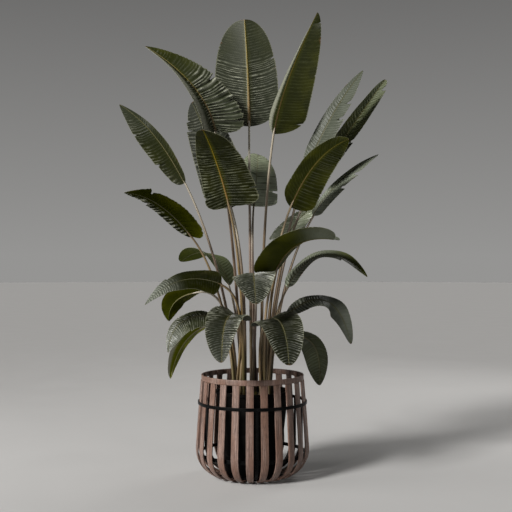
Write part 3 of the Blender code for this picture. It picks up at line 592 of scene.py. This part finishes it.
def stalk_material():
    """Streaks along the stalk, golden on some and lilac grey on others, browner towards the foot, with
    painted shade at the foot and in the channel and painted light towards the tops of the lilac grey ones.
    """
    g = Graph(bpy.data.materials.new("stalk_skin"))
    grain = g.values("grain")
    lilac, share, groove = g.values("part")
    streak = g.noise(g.stretched(grain, 7.0, 2.0, 40.0), 1.0, 4.0, 0.6)
    patch = g.noise(g.stretched(grain, 0.6, 3.0, 23.0), 1.0, 2.0)
    foot = g.ease(share, 0.0, 0.5, 1.0, 0.0)
    colour = g.coats(
        STALK_GOLD,
        (g.times(lilac, g.rest(foot)), STALK_LILAC),
        (g.ease(streak, 0.53, 0.64), STALK_PALE),
        # paler towards the top, partly the stalks' own grey and partly painted light where they lie in
        # shadow
        (g.times(lilac, g.ease(share, 0.6, 0.95, 0.0, 0.8)), STALK_GREY_LIT),
        (g.ease(streak, 0.34, 0.46, 1.0, 0.0), STALK_TAN),
        (g.times(g.ease(streak, 0.46, 0.58, 1.0, 0.2), foot), STALK_BROWN),
        (g.times(foot, 0.6, g.ease(patch, 0.45, 0.6)), STALK_GREEN),
        # painted shade in the channel
        (g.times(groove, 0.7), STALK_BROWN),
        # painted shade at the stalks' feet
        (g.ease(share, 0.0, 0.4, 0.5, 0.0), LEAF_DARK),
    )
    return g.surface(colour, g.ease(streak, 0.2, 0.8, 0.38, 0.55), g.bump(streak, 0.0006, 0.6))


def wood_material():
    """Oiled wood with grain along the strip and a tone of its own for each strip."""
    g = Graph(bpy.data.materials.new("slat_wood_grain"))
    grain = g.values("grain")
    wander = g.noise(g.stretched(grain, 60.0, 5.0, 31.0), 1.0, 2.0)
    across = g.math("ADD", g.times(grain[0], 700.0), g.times(wander, 2.5))
    fibre = g.noise(g.vector(across, g.times(grain[1], 6.0), g.times(grain[2], 57.0)), 1.0, 5.0, 0.65)
    pores = g.noise(g.stretched(grain, 1300.0, 45.0, 13.0), 1.0, 2.0)
    tone = g.noise(g.stretched(grain, 30.0, 6.0, 71.0), 1.0, 2.0)
    colour = g.coats(
        WOOD_MID,
        (g.ease(fibre, 0.44, 0.64, 0.03, 1.0), WOOD_LIGHT),
        (g.ease(tone, 0.44, 0.6, 0.0, 0.7), WOOD_RED),
        (g.ease(fibre, 0.34, 0.45, 0.5, 0.0), WOOD_DARK),
        (g.ease(pores, 0.52, 0.64, 0.0, 0.7), WOOD_DARK),
    )
    normal = g.bump(pores, 0.0003, 0.5, g.bump(fibre, 0.0005, 0.5))
    return g.surface(colour, g.ease(fibre, 0.2, 0.8, 0.55, 0.38), normal)


def plain_material(name, dark, light, roughness, scale, bump, specular=0.5):
    """Two tones mixed by a noise that also roughens the surface."""
    g = Graph(bpy.data.materials.new(name))
    place = g.place()
    coarse = g.noise(place, scale, 5.0, 0.6)
    rough = g.ease(coarse, 0.3, 0.7, roughness - 0.06, roughness + 0.06)
    normal = g.bump(g.noise(place, scale * 6, 3.0), bump, 0.6)
    colour = g.mix(g.ease(coarse, 0.35, 0.7), dark, light)
    return g.surface(colour, rough, normal, specular)


# Meshes

class Shell:
    """The vertices, faces and vertex values of one piece, gathered from closed forms."""

    def __init__(self):
        self.points, self.faces, self.values, self.count = [], [], {}, 0

    def add(self, points, faces, **values):
        self.points.append(points.reshape(-1, 3))
        self.faces += [[self.count + i for i in face] for face in faces]
        self.count += len(self.points[-1])
        for name, value in values.items():
            self.values.setdefault(name, []).append(value.reshape(-1, 3))

    def add_bar(self, rows, **values):
        """Rows of closed loops with a flat cap at each end."""
        count, around = rows.shape[:2]
        last = (count - 1) * around
        caps = [list(range(around))[::-1], list(range(last, last + around))]
        self.add(rows, sleeve_faces(count, around) + caps, **values)

    def add_ring(self, rows, **values):
        """Rows of closed loops of which the last meets the first."""
        self.add(rows, sleeve_faces(*rows.shape[:2], closed=True), **values)

    def piece(self, name, material, nodes, sharp):
        """Makes the mesh object that stands for the nodes. Edges over the sharp angle stay sharp."""
        mesh = bpy.data.meshes.new(name)
        mesh.from_pydata(np.concatenate(self.points).tolist(), [], self.faces)
        mesh.materials.append(material)
        mesh.shade_smooth()
        mesh.set_sharp_from_angle(angle=radians(sharp))
        for key, parts in self.values.items():
            values = np.concatenate(parts)
            layer = mesh.attributes.new(key, "FLOAT_COLOR", "POINT")
            layer.data.foreach_set("color", np.column_stack([values, np.ones(len(values))]).ravel())
        made = placed(name, mesh)
        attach(made, "root")
        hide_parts(*nodes)


def placed(name, data):
    made = bpy.data.objects.new(name, data)
    bpy.context.scene.collection.objects.link(made)
    return made


def sleeve_faces(rows, around, closed=False):
    """Quads between rows of points that are closed loops. The last row meets the first if closed."""
    index = np.arange(rows * around).reshape(rows, around)
    low = index if closed else index[:-1]
    high = np.roll(index, -1, 0) if closed else index[1:]
    quads = np.stack([low, np.roll(low, -1, 1), np.roll(high, -1, 1), high], axis=2)
    return quads.reshape(-1, 4).tolist()


def layers(shape, *values):
    """The values for each point of a grid, which may each be one number, a row or a column."""
    return np.stack([np.broadcast_to(value, shape) for value in values], axis=2)


def unit(vectors):
    return vectors / np.linalg.norm(vectors, axis=-1, keepdims=True)


def dot(a, b):
    return (a * b).sum(axis=-1, keepdims=True)


def lengths_along(path):
    steps = np.linalg.norm(np.diff(path, axis=0), axis=1)
    return np.concatenate([[0.0], np.cumsum(steps)])[:, None]


def circle(steps):
    return tau * np.arange(steps) / steps


def rounded_section(width, thick, corner):
    """Places across and through a strip, round its section."""
    corner = min(corner, 0.45 * thick)
    angle = circle(4)[:, None] + np.linspace(0, pi / 2, CORNER_STEPS + 1)
    centres = np.array(((1, 1), (-1, 1), (-1, -1), (1, -1))) * (np.array((width, thick)) / 2 - corner)
    arcs = corner * np.stack([np.cos(angle), np.sin(angle)], axis=-1)
    return (centres[:, None] + arcs).reshape(-1, 2)


def turned(points, angle):
    """The points turned round the Z axis."""
    c, s = cos(angle), sin(angle)
    x, y, z = points[..., 0], points[..., 1], points[..., 2]
    return np.stack([c * x - s * y, s * x + c * y, z], axis=-1)


def lathe(profile, steps):
    """Rows of points from a closed outline of radius and height that is turned round the Z axis."""
    angle = circle(steps)[:, None]
    r, z = np.array(profile).T
    return np.stack([r * np.cos(angle), r * np.sin(angle), z + 0 * angle], axis=-1)


# Basket

def side_radius(z):
    share = max(z - BEND_R, 0.0) / (BASKET_HEIGHT - BEND_R)
    return between(BELLY_R, TOP_R, share ** SIDE_POWER)


def strip_path(foot_inner, outer_r, bend_r, foot_z, high):
    """Radius and height of a strip's outer face: flat foot, quarter bend, then up the side."""
    rows = [(r, foot_z) for r in np.linspace(foot_inner, FOOT_R, FOOT_ROWS, endpoint=False)]
    for angle in np.linspace(0, pi / 2, BEND_ROWS + 1):
        rows.append((FOOT_R + bend_r * sin(angle), BEND_R - bend_r * cos(angle)))
    rows += [(outer_r(z), z) for z in np.linspace(BEND_R, high, SIDE_ROWS + 1)[1:]]
    return np.array(rows)


def slat_width(z):
    if z < BEND_R:
        lean = acos(max(min(1 - z / BEND_R, 1.0), 0.0))
        return between(SLAT_WIDTH_FOOT, SLAT_WIDTH_BELLY, sin(lean))
    return between(SLAT_WIDTH_BELLY, SLAT_WIDTH_TOP, (z - BEND_R) / (BASKET_HEIGHT - BEND_R))


def strip_rows(path, widths, thick, corner):
    """Rows of points round a strip at the front, and each point's place across and along it."""
    tangent = unit(np.gradient(path, axis=0))
    inward = np.stack([-tangent[:, 1], tangent[:, 0]], axis=1)
    rows, across = [], []
    for (r, z), lean, width, deep in zip(path, inward, widths, thick):
        section = rounded_section(width, deep, corner)
        depth = deep / 2 - section[:, 1]
        rows.append(np.stack([section[:, 0], -(r + lean[0] * depth), z + lean[1] * depth], axis=1))
        across.append(section.sum(axis=1))
    return np.array(rows), np.array(across), lengths_along(path)


def slat_rows():
    """A slat's rows, thinned behind the hoop."""
    path = strip_path(FOOT_INNER_R, side_radius, BEND_R, 0.0, BASKET_HEIGHT)
    below = path[path[:, 1] < LAP_LOW]
    step = [(side_radius(LAP_LOW), LAP_LOW - GAP)]
    lap = [(LAP_R, z) for z in np.linspace(LAP_LOW, BASKET_HEIGHT, LAP_ROWS + 1)]
    path = np.concatenate([below, step, lap])
    thick = np.where(path[:, 1] < LAP_LOW, SLAT_THICK, LAP_THICK)
    return strip_rows(path, [slat_width(z) for z in path[:, 1]], thick, SLAT_CORNER)


def build_slats(wood):
    rows, across, along = slat_rows()
    draw = np.random.default_rng(SLAT_SEED)
    for i in range(SLATS):
        grain = layers(rows.shape[:2], across, along, draw.uniform(0, 10))
        shell = Shell()
        shell.add_bar(turned(rows, SLAT_TURN + i * SLAT_PITCH), grain=grain)
        shell.piece(f"fine_slat_{i + 1:02d}", wood, [f"slat_{i + 1:02d}"], sharp=40)


def band_section(inner_r, thick, low, height, corner):
    """The outline of a flat ring's section."""
    return rounded_section(thick, height, corner) + (inner_r + thick / 2, low + height / 2)


def build_hoop(wood):
    """A flat ring of wood with upright grain."""
    low = BASKET_HEIGHT - HOOP_HEIGHT
    section = band_section(TOP_R - HOOP_THICK, HOOP_THICK, low, HOOP_HEIGHT, HOOP_CORNER)
    rows = lathe(section, ROUND_STEPS)
    turn = circle(ROUND_STEPS)[:, None] * TOP_R
    shell = Shell()
    shell.add_ring(rows, grain=layers(rows.shape[:2], turn, section.sum(axis=1), HOOP_SEED))
    shell.piece("fine_hoop", wood, ["rim_hoop"], sharp=40)


def add_rivet(shell, angle):
    """A low round head on the outside of the frame."""
    around = circle(RIVET_SIDES)
    lift = np.linspace(0, pi / 2 * RIVET_DOME, RIVET_RINGS)[:, None]
    spread, out = RIVET_R * np.cos(lift), RING_R + RING_THICK - SUNK + RIVET_RISE * np.sin(lift)
    middle = RING_LOW + RING_HEIGHT / 2
    across, up = spread * np.cos(around), middle + spread * np.sin(around)
    shell.add_bar(turned(layers(up.shape, across, -out, up), angle))


def build_metal_frame(metal):
    shell = Shell()
    for ring in METAL_RINGS:
        shell.add_ring(lathe(band_section(*ring, METAL_CORNER), ROUND_STEPS))
    outer_r, high = RING_R + 2 * SUNK, RING_LOW + RING_HEIGHT - SUNK
    bend_r = outer_r - FOOT_R
    path = strip_path(DISC_R + GAP, lambda z: outer_r, bend_r, BEND_R - bend_r, high)
    rows, _, _ = strip_rows(path, [STRAP_WIDTH] * len(path), [STRAP_THICK] * len(path), METAL_CORNER)
    for i in range(STRAPS):
        angle = SLAT_TURN + SLAT_PITCH / 2 + i * tau / STRAPS
        shell.add_bar(turned(rows, angle))
        add_rivet(shell, angle)
    shell.piece("fine_frame", metal, ["metal_frame"], sharp=40)


def build_disc(board):
    """A round board with a boss that the slats' feet end against."""
    boss_r, step_low = FOOT_INNER_R - GAP, SLAT_THICK + GAP
    profile = [(AXIS_R, 0.0), (boss_r - DISC_EDGE, 0.0), (boss_r, DISC_EDGE), (boss_r, step_low),
               (DISC_R - DISC_EDGE, step_low), (DISC_R, step_low + DISC_EDGE),
               (DISC_R, DISC_THICK - DISC_EDGE), (DISC_R - DISC_EDGE, DISC_THICK), (AXIS_R, DISC_THICK)]
    shell = Shell()
    shell.add_ring(lathe(profile, DISC_STEPS))
    shell.piece("fine_base_disc", board, ["base_disc"], sharp=40)


# Pot and soil

def pot_radius(z):
    return between(POT_FOOT_R, POT_TOP_R, (z - POT_LOW) / POT_HEIGHT)


def build_pot(plastic):
    """A thin pot with a folded lip and three grooves moulded round its wall."""
    profile = [(AXIS_R, POT_LOW), (POT_FOOT_R - POT_EDGE, POT_LOW), (POT_FOOT_R, POT_LOW + POT_EDGE)]
    for z in GROOVES:
        r = pot_radius(z)
        profile += [(r, z - GROOVE_HALF), (r - GROOVE_DEEP, z - GROOVE_HALF / 2),
                    (r - GROOVE_DEEP, z + GROOVE_HALF / 2), (r, z + GROOVE_HALF)]
    lip_low, mouth_r = POT_TOP - POT_LIP_HEIGHT, POT_TOP_R - POT_WALL
    profile += [(pot_radius(lip_low), lip_low), (POT_LIP_R - POT_LIP_FOLD[0], lip_low),
                (POT_LIP_R, lip_low + POT_LIP_FOLD[1]), (POT_LIP_R, POT_TOP - POT_LIP_EDGE),
                (POT_LIP_R - POT_LIP_EDGE, POT_TOP), (mouth_r + POT_MOUTH_EDGE, POT_TOP),
                (mouth_r, POT_TOP - POT_MOUTH_EDGE), (POT_FOOT_R - POT_WALL, POT_LOW + POT_WALL),
                (AXIS_R, POT_LOW + POT_WALL)]
    shell = Shell()
    shell.add_ring(lathe(profile, POT_STEPS))
    shell.piece("fine_pot", plastic, ["pot"], sharp=35)


def build_soil(earth):
    """Uneven earth with crumbs on it."""
    draw = np.random.default_rng(SOIL_SEED)
    low, top_r = POT_LOW + POT_WALL + GAP, pot_radius(SOIL_TOP) - POT_WALL - GAP
    profile = [(AXIS_R, low), (pot_radius(low) - POT_WALL - GAP, low)]
    profile += [(r, SOIL_TOP) for r in np.linspace(top_r, AXIS_R, SOIL_RINGS + 1)]
    rows = lathe(profile, SOIL_STEPS)
    top = rows[:, 2:]
    limits = ((-SWELL_PITCH, SWELL_PITCH), (-SWELL_PITCH, SWELL_PITCH), (0, 6), (0, SWELL_HEIGHT))
    waves = zip(*(draw.uniform(*limit, SWELLS) for limit in limits))
    swell = sum(np.sin(top[..., 0] * a + top[..., 1] * b + c) * d for a, b, c, d in waves)
    top[..., 2] += swell + draw.uniform(-SOIL_ROUGH, SOIL_ROUGH, swell.shape) - SOIL_SINK
    shell = Shell()
    shell.add_ring(rows)
    for _ in range(CRUMBS):
        r, angle = top_r * CRUMB_SPREAD * sqrt(draw.uniform()), draw.uniform(0, tau)
        add_crumb(shell, draw, (r * cos(angle), r * sin(angle), SOIL_TOP))
    shell.piece("fine_soil", earth, ["soil"], sharp=30)


def add_crumb(shell, draw, centre):
    """A small lump with four uneven corners round it and one above and below."""
    size = draw.uniform(*CRUMB_SIZE)
    corners = np.array([(0, 0, -1), (1, 0, 0), (0, 1, 0), (-1, 0, 0), (0, -1, 0), (0, 0, 1)])
    points = corners * draw.uniform(0.5, 1.0, (6, 3)) * size
    points = turned(points * np.array([1.0, draw.uniform(0.4, 1.0), 0.6]), draw.uniform(0, tau))
    sides = ((1, 2), (2, 3), (3, 4), (4, 1))
    shell.add(points + np.array(centre), [[0, b, a] for a, b in sides] + [[5, a, b] for a, b in sides])


# Leaves

def facing(azimuth, elevation):
    a, e = radians(azimuth), radians(elevation)
    return np.array((cos(e) * cos(a), cos(e) * sin(a), sin(e)))


def rib_frame(leaf, u):
    """The midrib's points, directions, upper normals and directions of the right half."""
    base, mid, tip = (np.array(p) for p in (leaf.base, leaf.mid, leaf.tip))
    control = 2 * mid - (base + tip) / 2
    u = np.asarray(u, dtype=float)[..., None]
    point = base * (1 - u) ** 2 + control * (2 * u * (1 - u)) + tip * u ** 2
    along = unit((control - base) * (1 - u) + (tip - control) * u)
    look = facing(*leaf.face)
    normal = unit(look - along * dot(along, look))
    angle = radians(leaf.twist) * (u - 0.5)
    normal = normal * np.cos(angle) + np.cross(along, normal) * np.sin(angle)
    return point, along, normal, np.cross(along, normal)


def half_width(leaf, side, u):
    """An arc up to the shoulder, then a fall, which a blunt blade starts late."""
    rise = np.sqrt(1 - (1 - np.minimum(u / leaf.shoulder, 1.0)) ** 2)
    late, round_off = 1.4 + 2.8 * leaf.blunt, 1 - 0.5 * leaf.blunt
    return leaf.width[side] * rise * np.maximum(1 - u ** late, 0.0) ** round_off


def petiole_half(u):
    return PETIOLE_HALF * (1 - PETIOLE_TAPER * u)


def wavy(draw, x, count, amount):
    """A smooth uneven curve over x from 0 to 1."""
    curve = np.zeros_like(x)
    for k in range(1, count + 1):
        curve += draw.uniform(-1, 1) * np.sin(pi * k * x + draw.uniform(0, tau))
    return amount * curve / sqrt(count)


def edge_reach(look, tears, u, phase, draw):
    """How far out the blade reaches: less at tears, nicks and between pleats."""
    reach = 1 - SCALLOP * look.height * (0.5 - 0.5 * np.cos(tau * phase))
    nicks = [(draw.uniform(*NICK_PLACE), draw.uniform(*NICK_DEPTH), NICK_HALF) for _ in range(NICKS)]
    for place, depth, half in [(*tear, TEAR_HALF) for tear in tears] + nicks:
        reach = np.minimum(reach, 1 - depth * np.maximum(1 - np.abs(u - place) / half, 0.0))
    return reach


def half_columns(look, u, width, reach):
    """The rib's half width, and the columns' places.

    A place v from 0 at the midrib to 1 at an untorn edge lies v * width + sqrt(v) * petiole out. Its
    square root is given.
    """
    petiole = petiole_half(u)
    edge = width * reach + petiole * np.sqrt(reach)
    rib = np.minimum(look.rib * (1 - RIB_NARROWS * u), RIB_MOST * edge)
    inner = rib * np.array(RIB_STEPS)
    outer = inner[:, -1:] + (edge - inner[:, -1:]) * np.array(LAMINA_STEPS)
    out = np.concatenate([inner, outer], axis=1)
    return rib, 2 * out / (petiole + np.sqrt(petiole ** 2 + 4 * width * out))


def half_surface(leaf, side, u, root, draw):
    """The smooth half: its points, normals and right directions, and how far out the points lie."""
    v = root ** 2
    drift = wavy(draw, u, *VEIN_DRIFT)
    bend = VEIN_BEND * v ** 2 + VEIN_WANDER * v * np.sin(tau * 1.4 * v + drift)
    bent = u + 4 * (u * (1 - u)) * bend
    point, along, normal, right = rib_frame(leaf, bent)
    blade = v * half_width(leaf, side, bent)
    out = blade + petiole_half(bent) * root
    fold = radians(leaf.fold[side])
    lift = out * sin(fold) - leaf.droop * blade ** 2 / max(leaf.width)
    point = point + right * (SIGNS[side] * out * cos(fold))[..., None]
    point = point + normal * lift[..., None] + along * (between(*leaf.sweep, bent) * blade)[..., None]
    return point, normal, right, out


def pleat_depth(look, side, u, v, draw):
    """From 0 at the rib to 1, and low where the pleats fade across or along the blade."""
    start, end = look.deep
    deep = np.clip(v / 0.05, 0, 1) * np.clip((pair(look.fade)[side] + FADE_BAND - v) / FADE_BAND, 0.1, 1)
    deep = deep * np.clip(np.minimum(end + FADE_BAND - u, u + FADE_BAND - start) / FADE_BAND, 0.12, 1)
    return deep * (0.7 + 0.3 * np.sin(tau * 1.1 * v + wavy(draw, u, *DEPTH_DRIFT)))


def half_blade(leaf, side, u, draw):
    """The upper side of one half, from the rib out, and the values of its points."""
    look, sign = leaf.look, SIGNS[side]
    tears = [(place, depth) for where, place, depth in leaf.tears if where == sign]
    phase = look.pleats * u + wavy(draw, u, *PLEAT_DRIFT)
    reach = edge_reach(look, tears, u, phase, draw)
    width = half_width(leaf, side, u)
    rib, root = half_columns(look, u, width, reach)
    point, normal, right, out = half_surface(leaf, side, u, root, draw)
    v = root ** 2

    off = np.abs(phase - np.round(phase))
    ridge = np.exp(-(off / RIDGE_HALF) ** 2)
    deep = pleat_depth(look, side, u, v, draw)
    ends = np.clip(width / END_TAPER, 0, 1)
    uneven = 1 + wavy(draw, u, *DEPTH_UNEVEN)
    relief = 2 * look.height * deep * ends * uneven * (ridge - RIDGE_MEAN)
    relief += WAVE * v ** 2 * ends * wavy(draw, u, *EDGE_WAVES)
    for place, depth in tears:
        gap = u - place
        relief += TEAR_LIFT * depth * np.sign(gap) * np.exp(-np.abs(gap) / TEAR_RUN) * v ** 2 * ends
    relief[:, :len(RIB_STEPS)] += RIB_RISE * (1 - RIB_TAPER * u) * np.array(RIB_RELIEF)
    rib_share = out / (RIB_STEPS[-1] * rib)
    lean = radians(leaf.fold[side]) * np.clip(rib_share, 0, 1)
    outward = normal * np.cos(lean)[..., None] - right * (sign * np.sin(lean))[..., None]
    point = point + outward * relief[..., None]

    on_rib = np.clip((RIB_STEPS[-1] - out / rib) / 0.25, 0, 1)
    # painted shade: how dark the pleats' valleys are coloured
    valley_shade = np.clip((off - 0.22) / 0.2, 0, 1) * deep
    dry = np.exp(-((1 - v / reach) / 0.03)) * (wavy(draw, u, *DRY_PATCHES) > DRY_OVER)
    dry = dry + 0.6 * np.clip((u - DRY_TIP) / 0.012, 0, 1)
    thick = RIB_THICK * (1 - RIB_TAPER * u) - BLADE_THICK
    thick = BLADE_THICK + thick * np.sqrt(np.clip(1 - rib_share ** 2, 0, 1))
    vein, crease = (v / reach, u, ridge * deep), (valley_shade, side, 0.0)
    return point, layers(v.shape, *vein), layers(v.shape, *crease), on_rib, dry, thick


def blade_places(pleats):
    """Places along the blade, a little closer towards base and tip."""
    even = np.linspace(0, 1, pleats * ROWS_PER_PLEAT + 1)
    places = (1 - ROW_EASE) * even + ROW_EASE * (1 - np.cos(pi * even)) / 2
    ends = np.array(END_ROWS)
    return np.sort(np.concatenate([places, ends, 1 - ends]))[:, None]


def joined(left, right):
    """Both halves as one grid, from the left edge over the rib to the right edge."""
    return np.concatenate([left[:, ::-1], right[:, 1:]], axis=1)


def wrapped(upper, under):
    """Rows over the upper side and back along the underside."""
    return np.concatenate([upper, under[:, ::-1]], axis=1)


def blade_faces(rows, columns):
    """A sleeve that quads between both sides close at base and tip."""
    around = 2 * columns
    faces, last = sleeve_faces(rows, around), (rows - 1) * around
    for a in range(columns - 1):
        b, c, d = a + 1, around - 2 - a, around - 1 - a
        faces += [[b, a, d, c], [last + a, last + b, last + c, last + d]]
    return faces


def build_leaf(leaf, seed):
    u = blade_places(leaf.look.pleats)
    draw = np.random.default_rng(seed)
    halves = [half_blade(leaf, side, u, draw) for side in (0, 1)]
    top, vein, crease, on_rib, dry, thick = (joined(left, right) for left, right in zip(*halves))
    normal = unit(np.cross(np.gradient(top, axis=1), np.gradient(top, axis=0)))
    _, _, rib_normal, _ = rib_frame(leaf, u)
    normal = unit(normal * (1 - on_rib[..., None]) + rib_normal * on_rib[..., None])
    points = wrapped(top, top - normal * thick[..., None])
    under = wrapped(np.zeros_like(dry), np.ones_like(dry))
    part = layers(under.shape, under, wrapped(on_rib, on_rib), wrapped(dry, dry))
    shell = Shell()
    vein, crease = wrapped(vein, vein), wrapped(crease, crease)
    shell.add(points, blade_faces(*dry.shape), vein=vein, part=part, crease=crease)
    shell.piece(f"leaf_{leaf.name}", leaf_material(leaf), [f"blade_{leaf.name}"], sharp=70)


def stalk_path(leaf):
    """The stalk's centre line from its crown on to under the blade, and the blade's upper normal there."""
    base, along, normal, _ = rib_frame(leaf, 0.0)
    crown_x, crown_y, _ = SHOOTS[leaf.shoot]
    root = np.array((crown_x + leaf.root[0], crown_y + leaf.root[1], ROOT_Z))
    top = base - along * (GAP + SUNK / 2) - normal * (RIB_THICK / 2)
    length = np.linalg.norm(top - root)
    t = np.linspace(0, 1, STALK_ROWS + 1)[:, None]
    rise, turn = root + np.array((0, 0, STALK_RISE * length)), top - along * (STALK_TURN * length)
    path = root * (1 - t) ** 3 + rise * 3 * t * (1 - t) ** 2 + turn * 3 * t ** 2 * (1 - t) + top * t ** 3
    ahead = np.linspace(0, STALK_INTO_RIB, STALK_END_ROWS + 1)[1:]
    blade_length = np.linalg.norm(np.array(leaf.mid) - np.array(leaf.base)) * 2
    points, _, normals, _ = rib_frame(leaf, ahead / blade_length)
    return np.concatenate([path, points - normals * (RIB_THICK * 0.55)]), normal


def add_stalk(shell, leaf, seed):
    """A tube with a channel along its upper side and low fibres round it."""
    path, normal = stalk_path(leaf)
    tangent = unit(np.gradient(path, axis=0))
    upper = np.zeros_like(path)
    upper[-1] = normal
    for i in range(len(path) - 2, -1, -1):
        upper[i] = unit(upper[i + 1] - tangent[i] * dot(upper[i + 1], tangent[i]))
    side = np.cross(tangent, upper)
    around = circle(STALK_SIDES)
    share = np.clip(np.arange(len(path)) / STALK_ROWS, 0, 1)[:, None]
    radius = between(STALK_ROOT_R, STALK_TOP_R, share)
    radius[STALK_ROWS + 1:, 0] *= np.linspace(*STALK_END, STALK_END_ROWS)
    radius *= 1 + STALK_FLARE * np.exp(-share / 0.03)
    channel = np.exp(-(np.minimum(around, tau - around) / CHANNEL_HALF) ** 2)
    form = 1 - CHANNEL_DEEP * channel + 0.02 * np.cos(7 * around + seed)
    offset = upper[:, None] * np.cos(around)[:, None] + side[:, None] * np.sin(around)[:, None]
    rows = path[:, None] + offset * (radius * form)[..., None]
    shape = rows.shape[:2]
    grain = layers(shape, 0.5 + 0.5 * np.cos(around), lengths_along(path), float(seed))
    part = layers(shape, SHOOTS[leaf.shoot][2], share, channel)
    shell.add_bar(rows, grain=grain, part=part)


def add_crown(shell, name, seed):
    """The short trunk in the soil, wrapped in the bases of old stalks."""
    x, y, _ = SHOOTS[name]
    around = circle(CROWN_SIDES)
    heights = np.linspace(CROWN_LOW, CROWN_TOP, CROWN_ROWS)[:, None]
    share = (heights - CROWN_LOW) / (CROWN_TOP - CROWN_LOW)
    radius = between(CROWN_R, CROWN_TOP_R, share) * np.where(share > 0.97, 0.8, 1.0)
    ring = radius * (1 - 0.10 * np.abs(np.sin(2.5 * around + 3.0 * share + seed)))
    rows = layers(ring.shape, x + ring * np.cos(around), y + ring * np.sin(around), heights)
    grain = layers(ring.shape, around / 2, heights, float(seed))
    shell.add_bar(rows, grain=grain, part=layers(ring.shape, 0.0, 0.0, 0.5))


def build_shoots():
    skin = stalk_material()
    for number, name in enumerate(SHOOTS):
        shell = Shell()
        add_crown(shell, name, number)
        for seed, leaf in enumerate(LEAVES):
            if leaf.shoot == name:
                add_stalk(shell, leaf, seed)
        shell.piece(f"stalks_{name}", skin, [f"shoot_{name}"], sharp=60)


# Setting

def add_lamp(name, kind, at, ahead, **settings):
    """A lamp that stands at a point and shines ahead."""
    light = bpy.data.lights.new(name, kind)
    for key, value in settings.items():
        setattr(light, key, value)
    lamp = placed(name, light)
    lamp.location = at
    lamp.rotation_euler = ahead.to_track_quat("-Z", "Y").to_euler()


def build_lamps():
    angle = radians(KEY_SPREAD)
    add_lamp("key", "SUN", (0, 0, 0), -Vector(KEY_FROM), energy=KEY_STRENGTH, angle=angle, color=KEY_WARM)
    for name, (at, target, size, watts) in AREA_LIGHTS.items():
        add_lamp(name, "AREA", at, Vector(target) - Vector(at), energy=watts, size=size, color=LIGHT_PALE)


def build_world():
    """Pale at the horizon and darker overhead, which keeps the shade between the leaves."""
    world = bpy.data.worlds.new("studio")
    g = Graph(world)
    height = g.node("SeparateXYZ", {0: g.place("Generated")}).outputs["Z"]
    strength = g.node("MapRange", {0: height, 2: SKY_FADE, 3: SKY_LOW, 4: SKY_HIGH}).outputs[0]
    background = g.nodes["Background"].inputs
    g.feed(background["Color"], LIGHT_PALE)
    g.feed(background["Strength"], strength)
    bpy.context.scene.world = world


def build_camera():
    camera = placed("camera", bpy.data.cameras.new("camera"))
    camera.location = CAMERA_AT
    camera.rotation_euler = (pi / 2, 0, 0)
    camera.data.sensor_width = SENSOR_MM
    camera.data.lens = FOCAL_PIXELS * SENSOR_MM / IMAGE_PIXELS
    bpy.context.scene.camera = camera


def build_floor():
    at = (0, 0, -FLOOR_DROP)
    bpy.ops.mesh.primitive_circle_add(vertices=96, radius=FLOOR_R, fill_type="NGON", location=at)
    floor = bpy.context.object
    floor.name = "floor"
    floor.data.materials.append(plain_material("floor_paint", FLOOR_PALE, FLOOR_PALE, 0.7, 3.0, 0.0002))


def main():
    wood = wood_material()
    board = plain_material("stained_board", METAL_BLACK, WOOD_DARK, 0.6, 40.0, 0.0003, specular=0.1)
    paint = plain_material("black_paint", METAL_BLACK, METAL_GREY, 0.35, 40.0, 0.0002, specular=0.06)
    plastic = plain_material("moulded_plastic", POT_BLACK, POT_GREY, 0.6, 30.0, 0.0002, specular=0.05)
    earth = plain_material("loose_earth", SOIL_DARK, SOIL_LIGHT, 0.9, 90.0, 0.0015)
    build_slats(wood)
    build_hoop(wood)
    build_disc(board)
    build_metal_frame(paint)
    build_pot(plastic)
    build_soil(earth)
    build_shoots()
    for seed, leaf in enumerate(LEAVES):
        build_leaf(leaf, seed)
    build_camera()
    build_world()
    build_floor()
    build_lamps()
    bpy.context.scene.view_settings.view_transform = "Standard"


main()
